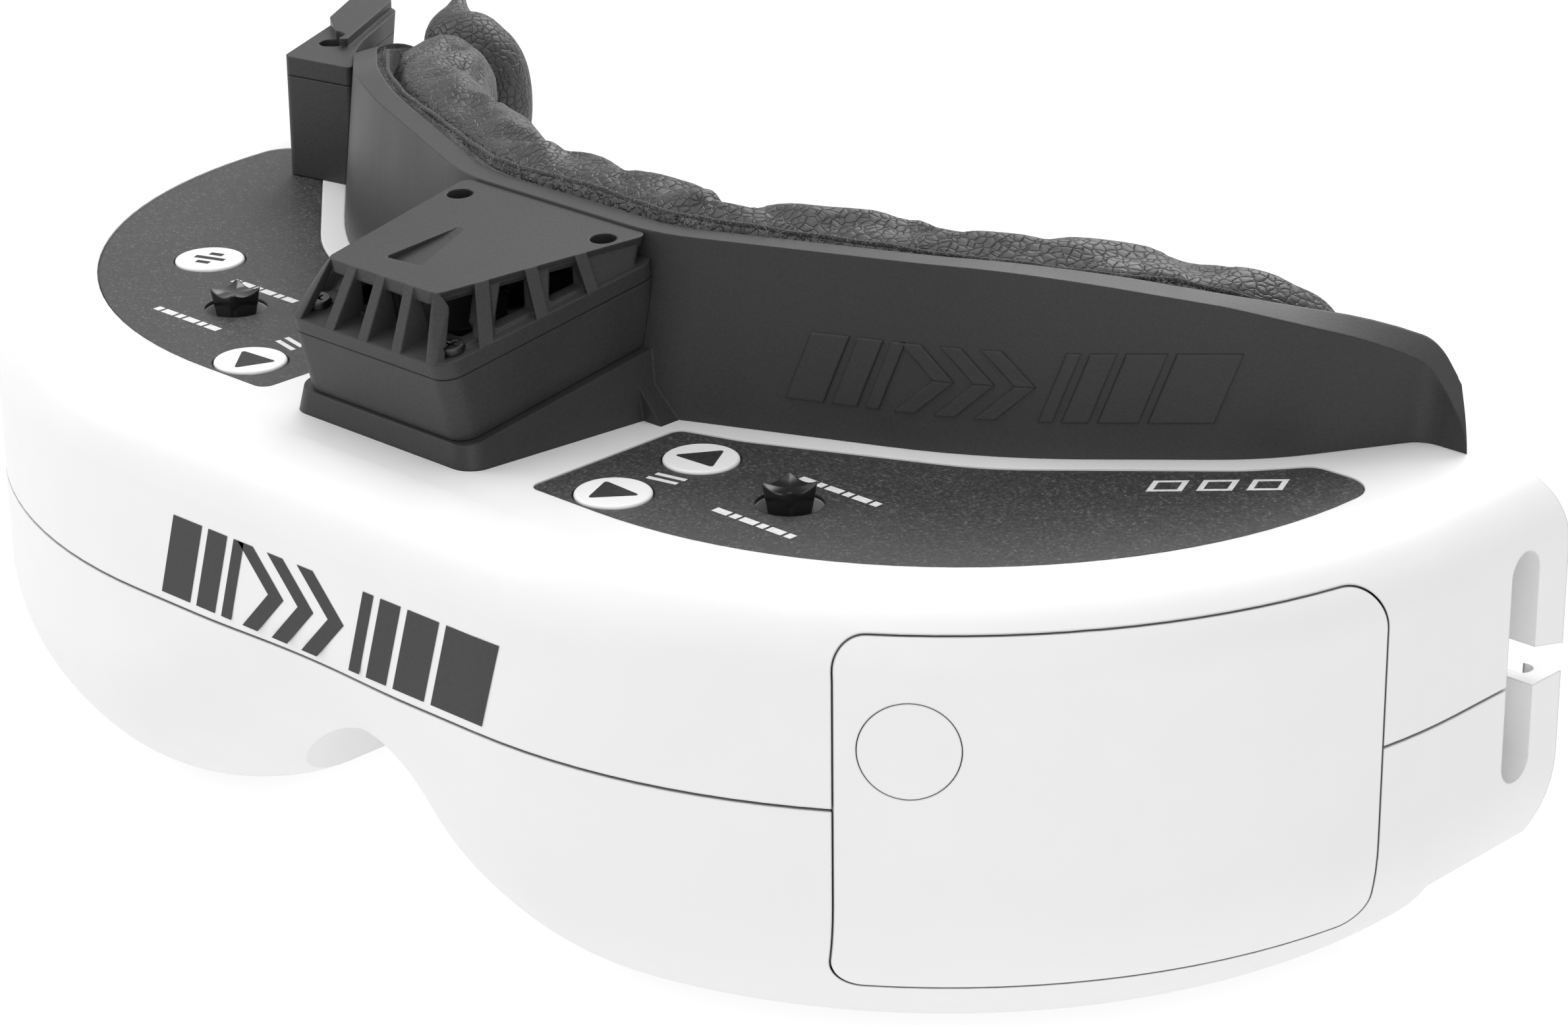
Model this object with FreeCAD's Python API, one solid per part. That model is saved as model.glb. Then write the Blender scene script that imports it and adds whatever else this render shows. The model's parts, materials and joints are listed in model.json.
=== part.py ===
import FreeCAD, Part
import math
import os

V = FreeCAD.Vector

# First-person-view goggles: two white half shells on a black face plate, a padded face ring,
# a vented fan pod, press buttons, two five-way sticks and a pair of sliding eyepieces.
# Frame: +Z up, the front faces -Y, +X is the wearer's left. The origin is the middle of the
# bottom of the whole object's box. All sizes are in millimetres.

# Casing
WIDTH = 180.0
HALF_WIDTH = WIDTH / 2
FRONT_Y = -45.0
REAR_Y = 45.0
DECK_Z = 47.0
PARTING_Z = 27.6
FRONT_RADIUS = 65.0
CORNER_X = HALF_WIDTH - FRONT_RADIUS
CORNER_Y = FRONT_Y + FRONT_RADIUS
WALL = 2.2
SEAM = 0.15
DECK_ROUND = 7.0
BELLY_ROUND = 18.0
TOP_Z = 68.0
BOX = 99.0

# Strap ears
EAR_Y = 37.6
EAR_INNER_X = 80.5
EAR_WALL_X = 78.8
EAR_WALL_Y = 26.1
EAR_BOTTOM_Z = 8.5
EAR_STEP_X = 62.0
EAR_STEP_Y = 20.6
SLOT_Y = 28.1
SLOT_WIDTH = 4.4
SLOT_LOW = 17.0
SLOT_HIGH = 41.0
STRAP_WAY = 2.4

# Belly profile, right half: a nose arch between two lobes
BELLY = [(0.0, 14.0), (5.0, 14.0), (14.0, 5.2), (28.0, 0.0), (96.0, 0.0)]
BELLY_RADII = [0.0, 11.5, 27.0, 44.0, 0.0]
NOSE_RADIUS = 15.0
NOSE_FRONT = (-38.0, 0.0)
NOSE_TILT = 22.5

# Face curve, seen from above, right half: where the face plate meets the shells
FACE = [(0.0, -11.6), (14.0, -11.6), (46.5, 2.3), (66.5, 20.3), (74.6, 34.4), (EAR_INNER_X, 34.4)]
FACE_RADII = [0.0, 20.0, 60.0, 30.0, 3.0, 0.0]
FACE_LEAN = 2.9
PLATE = 2.6
HOOK = 1.4
PAD_GAP = 0.1
PAD = 8.0
PAD_CROWN = 3.5
TEMPLE_X = 79.9

# Outline of the face plate seen from the front, right half, without the belly
HOOD = [(0.0, 65.2), (48.0, 65.2), (69.1, 60.4), (TEMPLE_X, 48.6)]
HOOD_RADII = [0.0, 60.0, 25.0, 8.0]
PLATE_LOW = 1.0

# Receiver bay door on the +X side, centred on one direction of the round front corner
DOOR_TURN = 57.1
DOOR_HALF = 26.1
DOOR_LOW = 8.7
DOOR_HIGH = 44.3
DOOR_ROUND = 3.2
SCOOP_RADIUS = 14.3
SCOOP_HEIGHT = 3.2
SCOOP_SHIFT = -5.0
SCOOP_DEPTH = 2.0
DOOR_WALL = 2.0
DOOR_GAP = 0.2
PLUG_TURN = 39.4
PLUG_Z = 33.8
PLUG_RADIUS = 4.7
TRAY_HALF = 25.0
TRAY_LOW = 12.2
TRAY_HIGH = 41.6
TRAY_INNER = 50.0
TRAY_WALL = 1.2

# Controls on the deck
BUTTON_RADIUS = 3.75
BUTTON_GAP = 0.2
BUTTON_PROUD = 0.15
LABEL_DEPTH = 0.5
LABEL_THICK = 0.4
FRONT_BUTTON = (26.4, -27.7)
BACK_BUTTON = (26.4, -15.9)
TRACKER_BUTTON = (-53.8, -10.4)
STICK = (40.2, -18.1)
STICK_HOLE = 3.3
STICK_PIVOT = DECK_Z - 4.0
BOARD_TOP = DECK_Z - 5.0
BOARD = 1.0

# Optics
EYE_X = 31.5
EYE_TRAVEL = 2.5
EYE_Z = PARTING_Z
BARREL_RADIUS = 12.4
BARREL_BORE = 11.3
BARREL_BACK = -2.0
BARREL_FRONT = -30.0
RAIL_Y = -24.0
RAIL_Z = 12.0
RAIL_RADIUS = 1.0
KNOB_X = 34.0
KNOB_HALF = 3.6

# Fan pod, in its own tilted frame: u across, v up the slope, w square to the slope
FAN_TILT = 10.5
FAN_ORIGIN = V(0, -33.1, DECK_Z + 2.4)
SEAM_W = 6.9
LEDGE_W = 8.6
FAN_SIZE = 20.0
FAN_HEIGHT = 6.0
FAN_V = 12.2
ROTOR_RADIUS = 8.9
ROOF_LINE = (3.2, 13.9, 26.6, 10.9)
FRONT_RIBS = [(-9.9, -7.6), (-4.9, -3.9), (0.0, 0.0), (4.9, 3.9), (9.9, 7.6)]
SIDE_RIBS = [(4.0, 8.6), (11.2, 13.9), (17.7, 19.1)]
SIDE_WINDOWS = [((2.6, 3.6), (5.2, 8.4)), ((6.9, 10.0), (12.0, 13.6)), ((13.6, 15.3), (17.8, 18.8))]
RIB = 1.3
LEDGE_SCREW = (9.6, 2.4)
ROOF_SCREW = (10.3, 22.8)
ROOF_SEAT = 8.2
SCREW_HEAD = 1.25
SCREW_SHANK = 0.7
SCREW_END = 7.2

# Boards inside
MAIN_BOARD_Y = -38.0
MAIN_BOARD_LOW = 24.0
MAIN_BOARD_HIGH = 42.0

parts = {}


def box(x0, x1, y0, y1, z0, z1):
    return Part.makeBox(x1 - x0, y1 - y0, z1 - z0, V(x0, y0, z0))


def rod(radius, start, end):
    along = end - start
    return Part.makeCylinder(radius, along.Length, start, along)


def rounded_wire(points, radii):
    """Closed wire through flat (a, b) points at z 0, each corner rounded to its radius."""
    corners = []
    count = len(points)
    for i in range(count):
        here = V(points[i][0], points[i][1], 0)
        before = V(points[i - 1][0], points[i - 1][1], 0)
        after = V(points[(i + 1) % count][0], points[(i + 1) % count][1], 0)
        if radii[i] == 0:
            corners.append([here])
            continue
        back = (before - here).normalize()
        ahead = (after - here).normalize()
        half = back.getAngle(ahead) / 2
        reach = radii[i] / math.tan(half)
        middle = (back + ahead).normalize()
        centre = here + middle * (radii[i] / math.sin(half))
        corners.append([here + back * reach, centre - middle * radii[i], here + ahead * reach])
    edges = []
    for i in range(count):
        if len(corners[i]) == 3:
            edges.append(Part.Arc(*corners[i]).toShape())
        start = corners[i][-1]
        end = corners[(i + 1) % count][0]
        if (end - start).Length > 1e-4:
            edges.append(Part.LineSegment(start, end).toShape())
    return Part.Wire(edges)


def flat_face(points, radii):
    return Part.Face(rounded_wire(points, radii))


def plan_prism(points, radii, z0, z1):
    face = flat_face(points, radii)
    face.translate(V(0, 0, z0))
    return face.extrude(V(0, 0, z1 - z0))


def front_prism(points, radii, y0, y1):
    """A prism along Y over an outline given as (x, z) points."""
    face = flat_face(points, radii)
    face.rotate(V(0, 0, 0), V(1, 0, 0), 90)
    face.translate(V(0, y0, 0))
    return face.extrude(V(0, y1 - y0, 0))


def side_prism(points, radii, x0, x1):
    """A prism along X over an outline given as (y, z) points."""
    face = flat_face(points, radii)
    face.rotate(V(0, 0, 0), V(1, 1, 1), 120)
    face.translate(V(x0, 0, 0))
    return face.extrude(V(x1 - x0, 0, 0))


def mirrored(shape):
    return shape.mirror(V(0, 0, 0), V(1, 0, 0))


def both(shape):
    return shape.fuse(mirrored(shape))


def symmetric(points, radii):
    """Left and right halves of an outline whose right half starts on the centre line."""
    left = [(-x, b) for x, b in reversed(points[1:])]
    return left + points[1:], list(reversed(radii[1:])) + radii[1:]


def shifted(points, distance):
    """An open outline moved to its left by one distance, with mitred corners."""
    moved = []
    count = len(points)
    for i in range(count):
        normals = []
        for j in (i - 1, i):
            if 0 <= j < count - 1:
                run = V(points[j + 1][0] - points[j][0], points[j + 1][1] - points[j][1], 0)
                normals.append(V(-run.y, run.x, 0).normalize())
        middle = (normals[0] + normals[-1]).normalize()
        reach = distance / middle.dot(normals[0])
        moved.append((points[i][0] + middle.x * reach, points[i][1] + middle.y * reach))
    return moved


def edges_where(shape, test):
    return [e for e in shape.Edges if test(e, e.valueAt((e.FirstParameter + e.LastParameter) / 2))]


def pick_solid(shape, point):
    """The solid of a shape that holds, or comes nearest to, a point."""
    probe = Part.Vertex(point)
    return min(shape.Solids, key=lambda s: s.distToShape(probe)[0])


# ---------------------------------------------------------------- casing

def outline_prism(inset, z0, z1):
    side = HALF_WIDTH - inset
    front = FRONT_Y + inset
    points = [(-side, EAR_Y), (-side, front), (side, front), (side, EAR_Y)]
    radius = FRONT_RADIUS - inset
    return plan_prism(points, [0, radius, radius, 0], z0, z1)


def belly_cut(rise):
    """Everything below the belly, whose profile is moved up by rise."""
    points, radii = symmetric(BELLY, BELLY_RADII)
    raised = shifted(points, rise) if rise else points
    low = -20.0
    outline = [(raised[0][0], low)] + raised + [(raised[-1][0], low)]
    return front_prism(outline, [0] + radii + [0], -60, 60)


def nose_cut(grow):
    start = V(0, NOSE_FRONT[0], NOSE_FRONT[1] - 1.2)
    tilt = math.radians(NOSE_TILT)
    along = V(0, math.cos(tilt), math.sin(tilt))
    return rod(NOSE_RADIUS + grow, start - along * 20, start + along * 90)


def body(inset):
    """The rounded outer form of the casing, moved inwards by inset."""
    raw = outline_prism(inset, -5, DECK_Z - inset).cut(belly_cut(inset))
    top = DECK_Z - inset
    deck_edges = edges_where(raw, lambda e, m: abs(m.z - top) < 0.01 and m.y < EAR_Y - 0.5)
    raw = raw.makeFillet(DECK_ROUND - inset, deck_edges)

    def on_belly(edge, middle):
        upright = abs(edge.tangentAt(edge.FirstParameter).z) > 0.9
        return middle.z < 20 and middle.y < EAR_Y - 0.5 and not upright

    return raw.makeFillet(BELLY_ROUND - inset, edges_where(raw, on_belly))


def face_region():
    """Everything behind the face curve: the room of the face plate, pad and wearer."""
    points, radii = symmetric(FACE, FACE_RADII)
    outline = [(points[0][0], 60)] + points + [(points[-1][0], 60)]
    return plan_prism(outline, [0] + radii + [0], -10, DECK_Z + 30)


def ear_block(side_low):
    block = box(EAR_WALL_X, HALF_WIDTH + 5, EAR_WALL_Y, EAR_Y + 5, side_low, DECK_Z + 5)
    return both(block)


def strap_channel():
    middle = SLOT_Y + SLOT_WIDTH / 2
    round_end = SLOT_WIDTH / 2 - 0.01
    slot_points = [(SLOT_Y, SLOT_LOW), (SLOT_Y + SLOT_WIDTH, SLOT_LOW)]
    slot_points += [(SLOT_Y + SLOT_WIDTH, SLOT_HIGH), (SLOT_Y, SLOT_HIGH)]
    slot = side_prism(slot_points, [round_end] * 4, EAR_INNER_X, HALF_WIDTH + 3)
    way = box(EAR_INNER_X - 0.01, EAR_INNER_X + STRAP_WAY, middle, EAR_Y + 3, SLOT_LOW, SLOT_HIGH)
    bar_gap_points = [(middle + 1, DECK_Z - 20.5), (EAR_Y + 3, DECK_Z - 20.5)]
    bar_gap_points += [(EAR_Y + 3, DECK_Z - 18.4), (middle + 1, DECK_Z - 16.2)]
    gap = side_prism(bar_gap_points, [0, 0, 0, 0], EAR_INNER_X, HALF_WIDTH + 3)
    core_points = [(84.2, 34.0), (88.0, 34.0), (88.0, 36.2), (84.2, 36.2)]
    core = plan_prism(core_points, [1, 1, 1, 1], DECK_Z - 27, DECK_Z - 20)
    return slot.fuse([way, gap, core])


def door_frame(shape):
    """Turns a shape made at the middle of the front to the door's direction."""
    turned = shape.copy()
    turned.rotate(V(CORNER_X, CORNER_Y, 0), V(0, 0, 1), DOOR_TURN)
    return turned


def door_prism(margin):
    left = CORNER_X - DOOR_HALF - margin
    right = CORNER_X + DOOR_HALF + margin
    low = DOOR_LOW - margin
    high = DOOR_HIGH + margin
    points = [(left, low), (right, low), (right, high), (left, high)]
    radii = [DOOR_ROUND + margin + extra for extra in (0, 0, 1.6, 0)]
    return door_frame(front_prism(points, radii, FRONT_Y - 5, FRONT_Y + 22))


def thumb_scoop(edge_z, towards):
    """A shallow dish beside the door's top or bottom edge, so that a thumb can lift the door."""
    slope = SCOOP_HEIGHT / SCOOP_DEPTH
    centre = V(CORNER_X + SCOOP_SHIFT, FRONT_Y - 1.0, edge_z - towards * (SCOOP_RADIUS - SCOOP_HEIGHT))
    inner = SCOOP_RADIUS - SCOOP_HEIGHT
    return door_frame(Part.makeCone(SCOOP_RADIUS + slope, inner, SCOOP_DEPTH + 1.0, centre, V(0, 1, 0)))


def ear_step(margin):
    """The room under the ears, where the casing ends higher than its lobes."""
    return both(box(EAR_STEP_X, HALF_WIDTH + 2, EAR_STEP_Y - margin, REAR_Y + 9, -2, EAR_BOTTOM_Z + margin))


def ear_slant():
    """The ears' rear edge runs back slightly from the end of the face curve to the side."""
    inner = EAR_INNER_X - 0.1
    points = [(inner, FACE[-1][1]), (HALF_WIDTH + 1, EAR_Y), (HALF_WIDTH + 1, 60), (inner, 60)]
    return both(plan_prism(points, [0] * 4, -2, DECK_Z + 2))


def build_casing():
    outer = body(0)
    inner = body(WALL).cut(nose_cut(WALL)).cut(ear_block(-5))
    solid = outer.cut(nose_cut(0)).cut(face_region())
    solid = solid.cut([ear_step(0), ear_slant()])
    inner = inner.cut(both(box(60, HALF_WIDTH, EAR_STEP_Y - WALL, EAR_Y, -2, EAR_BOTTOM_Z + WALL)))
    shell = solid.cut(inner)
    shell = shell.cut(both(strap_channel()))
    return outer, shell


def deck_bosses():
    """Pegs under the deck that carry the two control boards, and pads for the main board."""
    pegs = []
    for x, y in ((22.5, -21.5), (46.5, -27.5)):
        pegs.append(both(rod(1.4, V(x, y, BOARD_TOP), V(x, y, DECK_Z - 1))))
    for x in (-28.0, 28.0):
        pegs.append(rod(2.0, V(x, MAIN_BOARD_Y, 36), V(x, FRONT_Y + 1, 36)))
    return pegs


def label_points():
    points = [(19.4, -31.9), (78.5, -31.9), (78.5, 22.2), (71.0, 22.2), (66.8, 16.8)]
    points += [(48.3, 0.4), (26.0, -10.0), (19.4, -12.0)]
    return points, [1.2, 50.0, 3.8, 2.2, 20.0, 30.0, 20.0, 1.2]


def label_blank(grow, z0, z1):
    points, radii = label_points()
    face = flat_face(points, radii)
    if grow:
        face = Part.Face(face.OuterWire.makeOffset2D(grow))
    face.translate(V(0, 0, z0))
    return face.extrude(V(0, 0, z1 - z0))


def control_spots():
    """Every control: its name, place and hole radius in the deck."""
    hole = BUTTON_RADIUS + BUTTON_GAP
    return [
        ("channel_up_button", BACK_BUTTON, hole),
        ("channel_down_button", FRONT_BUTTON, hole),
        ("volume_up_button", (-BACK_BUTTON[0], BACK_BUTTON[1]), hole),
        ("volume_down_button", (-FRONT_BUTTON[0], FRONT_BUTTON[1]), hole),
        ("head_tracker_button", TRACKER_BUTTON, hole),
        ("menu_stick", STICK, STICK_HOLE),
        ("record_stick", (-STICK[0], STICK[1]), STICK_HOLE),
    ]


def control_holes(z0, z1):
    return [rod(r, V(p[0], p[1], z0), V(p[0], p[1], z1)) for name, p, r in control_spots()]


def build_shells():
    outer, shell = build_casing()
    shell = shell.cut(door_prism(DOOR_GAP))
    scoops = [thumb_scoop(DOOR_HIGH, 1), thumb_scoop(DOOR_LOW, -1)]
    shell = shell.cut(scoops)
    recess = label_blank(0.15, DECK_Z - LABEL_DEPTH, DECK_Z + 1)
    holes = control_holes(DECK_Z - 4, DECK_Z + 1)
    shell = shell.cut([recess, mirrored(recess)] + holes)
    shell = shell.cut(port_cuts() + knob_slots())
    upper_room = box(-BOX, BOX, -60, 60, PARTING_Z + SEAM, 80)
    lower_room = box(-BOX, BOX, -60, 60, -5, PARTING_Z - SEAM)
    upper = shell.common(upper_room)
    lower = shell.common(lower_room)

    lip_band = body(WALL / 2 + 0.1).cut(body(WALL)).cut(face_region()).cut(ear_block(-5))
    lip_band = lip_band.cut(door_prism(1.5)).cut(box(-BOX, -80, -10, 30, 0, 60))
    lip_top = PARTING_Z + 1.6
    rebate = body(WALL / 2 - 0.05).common(box(-BOX, BOX, -60, 60, PARTING_Z - 1, lip_top + 0.2))
    rebate = rebate.cut(ear_block(-5))
    upper = upper.cut(rebate)
    lip = lip_band.common(box(-BOX, BOX, -60, 60, PARTING_Z - 3, lip_top))
    lower = lower.fuse(lip)
    upper = upper.fuse(deck_bosses())
    lower = lower.fuse(rail_posts())
    lower = lower.cut(rail_rods(0.0))
    parts["upper_shell"] = pick_solid(upper, V(0, FRONT_Y + 1, 35))
    parts["lower_shell"] = pick_solid(lower, V(0, FRONT_Y + 1, 20))
    return outer


def build_door(outer):
    skin = outer.cut(body(DOOR_WALL))
    door = skin.common(door_prism(0))
    turn = math.radians(PLUG_TURN - 90)
    out = V(math.cos(turn), math.sin(turn), 0)
    centre = V(CORNER_X, CORNER_Y, PLUG_Z)
    plug_axis = (centre + out * (FRONT_RADIUS - 8), centre + out * (FRONT_RADIUS + 5))
    parts["bay_door"] = door.cut(rod(PLUG_RADIUS + 0.1, *plug_axis))
    parts["antenna_plug"] = skin.common(rod(PLUG_RADIUS, *plug_axis))


def build_tray():
    low = FRONT_Y - 1
    back = CORNER_Y - TRAY_INNER
    wide = TRAY_HALF + TRAY_WALL
    outside = box(CORNER_X - wide, CORNER_X + wide, low, back + TRAY_WALL,
                  TRAY_LOW - TRAY_WALL, TRAY_HIGH + TRAY_WALL)
    inside = box(CORNER_X - TRAY_HALF, CORNER_X + TRAY_HALF, low - 1, back, TRAY_LOW, TRAY_HIGH)
    tray = door_frame(outside.cut(inside))
    parts["bay_tray"] = pick_solid(tray.common(body(WALL + 0.05)), V(66, -7, 25))
    pins = []
    for i in range(5):
        x = CORNER_X - 5.08 + 2.54 * i
        pins.append(box(x - 0.32, x + 0.32, back - 8.0, back - 2.4, 26.7, 27.3))
    block = box(CORNER_X - 7, CORNER_X + 7, back - 2.5, back, 25.5, 28.5)
    parts["bay_header"] = door_frame(block.fuse(pins))


# ---------------------------------------------------------------- sockets on the -X side

def port_spots():
    """Sockets in the -X wall: name, y, z, opening radius or (width, height), depth of the body."""
    return [
        ("power_jack", 16.0, 36.0, 2.8, 11.0),
        ("video_jack", 7.0, 36.0, 1.8, 12.5),
        ("phones_jack", -1.0, 36.0, 1.8, 12.5),
        ("hdmi_socket", 13.0, 18.5, (11.4, 3.4), 9.0),
        ("card_slot", -2.0, 18.5, (12.0, 1.8), 15.0),
    ]


def port_face_x(y):
    """The outside of the -X wall at a given y, set in by 0.6."""
    drop = CORNER_Y - y
    if drop <= 0:
        return -HALF_WIDTH + 0.6
    return -(CORNER_X + math.sqrt(FRONT_RADIUS ** 2 - (drop + 4.0) ** 2)) + 0.6


def port_cuts():
    cuts = []
    for name, y, z, opening, depth in port_spots():
        face = port_face_x(y)
        if isinstance(opening, tuple):
            w = opening[0] / 2 + 0.9
            h = opening[1] / 2 + 0.9
            cuts.append(box(-HALF_WIDTH - 3, face + 8, y - w, y + w, z - h, z + h))
        else:
            cuts.append(rod(opening + 1.1, V(-HALF_WIDTH - 3, y, z), V(face + 8, y, z)))
    return cuts


def build_ports():
    for name, y, z, opening, depth in port_spots():
        face = port_face_x(y)
        if isinstance(opening, tuple):
            w = opening[0] / 2
            h = opening[1] / 2
            solid = box(face, face + depth, y - w - 0.7, y + w + 0.7, z - h - 0.7, z + h + 0.7)
            solid = solid.cut(box(face - 1, face + depth - 1.5, y - w, y + w, z - h, z + h))
            tongue = box(face + 1.0, face + depth - 1.0, y - w + 1.2, y + w - 1.2, z - 0.35, z + 0.35)
            solid = solid.fuse(tongue)
        else:
            collar = rod(opening + 0.9, V(face, y, z), V(face + 4, y, z))
            half = opening + 1.4
            block = box(face + 3.2, face + depth, y - half, y + half, z - half, z + half)
            bore = rod(opening, V(face - 1, y, z), V(face + depth - 1.5, y, z))
            solid = collar.fuse(block).cut(bore)
            if name == "power_jack":
                solid = solid.fuse(rod(1.0, V(face + 1.0, y, z), V(face + depth - 1.0, y, z)))
        parts[name] = solid


# ---------------------------------------------------------------- controls

def build_labels():
    z0 = DECK_Z - LABEL_DEPTH
    blank = label_blank(0, z0, z0 + LABEL_THICK)
    holes = control_holes(z0 - 1, z0 + 2)
    parts["left_label"] = blank.cut(holes)
    parts["right_label"] = mirrored(blank).cut(holes)


def build_buttons():
    switches = []
    for name, spot, hole in control_spots():
        if not name.endswith("button"):
            continue
        x, y = spot
        cap = rod(BUTTON_RADIUS, V(x, y, DECK_Z - 2.9), V(x, y, DECK_Z + BUTTON_PROUD))
        rim = edges_where(cap, lambda e, m: abs(m.z - DECK_Z - BUTTON_PROUD) < 0.01)
        cap = cap.makeFillet(0.25, rim)
        flange = rod(BUTTON_RADIUS + 0.8, V(x, y, DECK_Z - 2.9), V(x, y, DECK_Z - WALL - 0.05))
        parts[name] = cap.fuse(flange)
        case = box(x - 2, x + 2, y - 2, y + 2, BOARD_TOP, BOARD_TOP + 1.1)
        stem = rod(1.0, V(x, y, BOARD_TOP + 1.0), V(x, y, DECK_Z - 3.5))
        switches.append(case.fuse(stem))
    parts["button_switches"] = Part.makeCompound(switches)


def build_stick(name, x, y):
    base = box(x - 4.6, x + 4.6, y - 4.6, y + 4.6, BOARD_TOP, DECK_Z - WALL - 0.1)
    well = rod(3.2, V(x, y, BOARD_TOP + 0.3), V(x, y, DECK_Z))
    parts[name + "_base"] = base.cut(well)
    low = STICK_PIVOT - 0.4
    ring = rod(2.8, V(x, y, low), V(x, y, low + 0.8)).cut(rod(1.9, V(x, y, low - 1), V(x, y, low + 2)))
    parts[name + "_ring"] = ring
    foot = rod(1.6, V(x, y, low), V(x, y, low + 0.8))
    stem = rod(0.9, V(x, y, low), V(x, y, DECK_Z + 0.2))
    parts[name + "_stem"] = foot.fuse(stem)
    z0 = DECK_Z - 1.9
    z1 = DECK_Z + 2.0
    lower = rounded_wire([(-1.5, -1.5), (1.5, -1.5), (1.5, 1.5), (-1.5, 1.5)], [0.5] * 4)
    upper = rounded_wire([(-2.0, -2.0), (2.0, -2.0), (2.0, 2.0), (-2.0, 2.0)], [0.5] * 4)
    lower.translate(V(x, y, z0))
    upper.translate(V(x, y, z1))
    cap = Part.makeLoft([lower, upper], True, True)
    notch_radius = 3.0
    crown = []
    for along, reach in ((V(1, 0, 0), V(4, 0, 0)), (V(0, 1, 0), V(0, 4, 0))):
        middle = V(x, y, z1 + 2.5)
        crown.append(rod(notch_radius, middle - reach, middle + reach))
    cap = cap.cut(crown)
    bore = rod(0.95, V(x, y, z0 - 1), V(x, y, DECK_Z + 0.6))
    parts[name + "_cap"] = cap.cut(bore)


def build_boards():
    z0 = BOARD_TOP - BOARD
    left = box(20.0, 50.0, -32.5, -12.0, z0, BOARD_TOP)
    parts["left_control_board"] = left
    points = [(-59, -20), (-50, -32.5), (-20, -32.5), (-20, -12), (-46, -12), (-50, -6), (-59, -6)]
    parts["right_control_board"] = plan_prism(points, [1] * 7, z0, BOARD_TOP)
    board = box(-32, 32, MAIN_BOARD_Y, MAIN_BOARD_Y + 1.2, MAIN_BOARD_LOW, MAIN_BOARD_HIGH)
    chips = []
    for x, z, w, h in ((-20, 31, 9, 9), (0, 33, 12, 12), (20, 32, 8, 10)):
        chips.append(box(x - w / 2, x + w / 2, MAIN_BOARD_Y + 1.2, MAIN_BOARD_Y + 2.2, z - h / 2, z + h / 2))
    parts["main_board"] = board.fuse(chips)


# ---------------------------------------------------------------- optics

def rail_rods(grow):
    rail = rod(RAIL_RADIUS + grow, V(24, RAIL_Y, RAIL_Z), V(47, RAIL_Y, RAIL_Z))
    return [rail, mirrored(rail)]


def rail_posts():
    posts = []
    for x, low in ((23.0, 2.8), (44.6, 1.0)):
        post = box(x, x + 2.4, RAIL_Y - 2, RAIL_Y + 2, low, RAIL_Z + 1.8)
        posts += [post, mirrored(post)]
    return posts


def knob_slots():
    reach = KNOB_HALF + EYE_TRAVEL + 0.4
    slot = box(KNOB_X - reach, KNOB_X + reach, RAIL_Y - 3.4, RAIL_Y + 3.4, -1, 9)
    return [slot, mirrored(slot)]


def build_eye(side, flip):
    pieces = {}
    middle = V(EYE_X, 0, EYE_Z)
    front = middle + V(0, BARREL_FRONT, 0)
    back = middle + V(0, BARREL_BACK, 0)
    barrel = rod(BARREL_RADIUS, front, back).cut(rod(BARREL_BORE, front - V(0, 1, 0), back + V(0, 1, 0)))
    lens_seat = rod(BARREL_BORE + 0.3, back - V(0, 9, 0), back - V(0, 8.2, 0))
    lens_seat = lens_seat.cut(rod(BARREL_BORE - 1.0, back - V(0, 10, 0), back))
    pieces["barrel"] = barrel.fuse(lens_seat)
    curve = 24.0
    thick = 5.6
    lens_mid = back - V(0, 5.2, 0)
    ball_front = Part.makeSphere(curve, lens_mid + V(0, curve - thick / 2, 0))
    ball_back = Part.makeSphere(curve, lens_mid - V(0, curve - thick / 2, 0))
    lens = ball_front.common(ball_back)
    pieces["lens"] = lens.common(rod(BARREL_BORE - 0.02, lens_mid - V(0, 5, 0), lens_mid + V(0, 5, 0)))
    plate = box(EYE_X - 12, EYE_X + 12, BARREL_FRONT - 2.0, BARREL_FRONT, EYE_Z - 12.4, EYE_Z + 12)
    window = box(EYE_X - 8.5, EYE_X + 8.5, BARREL_FRONT - 3, BARREL_FRONT + 1, EYE_Z - 7, EYE_Z + 7)
    lug = box(KNOB_X - 4, KNOB_X + 4, BARREL_FRONT - 2.0, RAIL_Y + 2.6, RAIL_Z - 1.7, EYE_Z - BARREL_RADIUS + 0.6)
    lug = lug.cut(rod(RAIL_RADIUS + 0.06, V(20, RAIL_Y, RAIL_Z), V(50, RAIL_Y, RAIL_Z)))
    lug = lug.cut(rod(BARREL_RADIUS, front, back))
    pieces["carriage"] = plate.cut(window).fuse(lug)
    pieces["display"] = box(EYE_X - 8.4, EYE_X + 8.4, BARREL_FRONT - 2.0, BARREL_FRONT - 0.6, EYE_Z - 6.9, EYE_Z + 6.9)
    pieces["display_board"] = box(EYE_X - 10, EYE_X + 10, BARREL_FRONT - 3.2, BARREL_FRONT - 2.0, EYE_Z - 9, EYE_Z + 9)
    stem = box(KNOB_X - 1.5, KNOB_X + 1.5, RAIL_Y - 1.5, RAIL_Y + 1.5, 2.4, RAIL_Z - 1.7)
    grip = box(KNOB_X - KNOB_HALF, KNOB_X + KNOB_HALF, RAIL_Y - 3, RAIL_Y + 3, 0.9, 2.5)
    grooves = [box(KNOB_X + x - 0.3, KNOB_X + x + 0.3, RAIL_Y - 4, RAIL_Y + 4, 0, 1.4) for x in (-1.8, 0, 1.8)]
    pieces["ipd_knob"] = stem.fuse(grip.cut(grooves))
    pieces["ipd_rail"] = rail_rods(0)[0]
    for name, shape in pieces.items():
        parts[side + "_" + name] = mirrored(shape) if flip else shape


# ---------------------------------------------------------------- face plate, hook strip and pad

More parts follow.
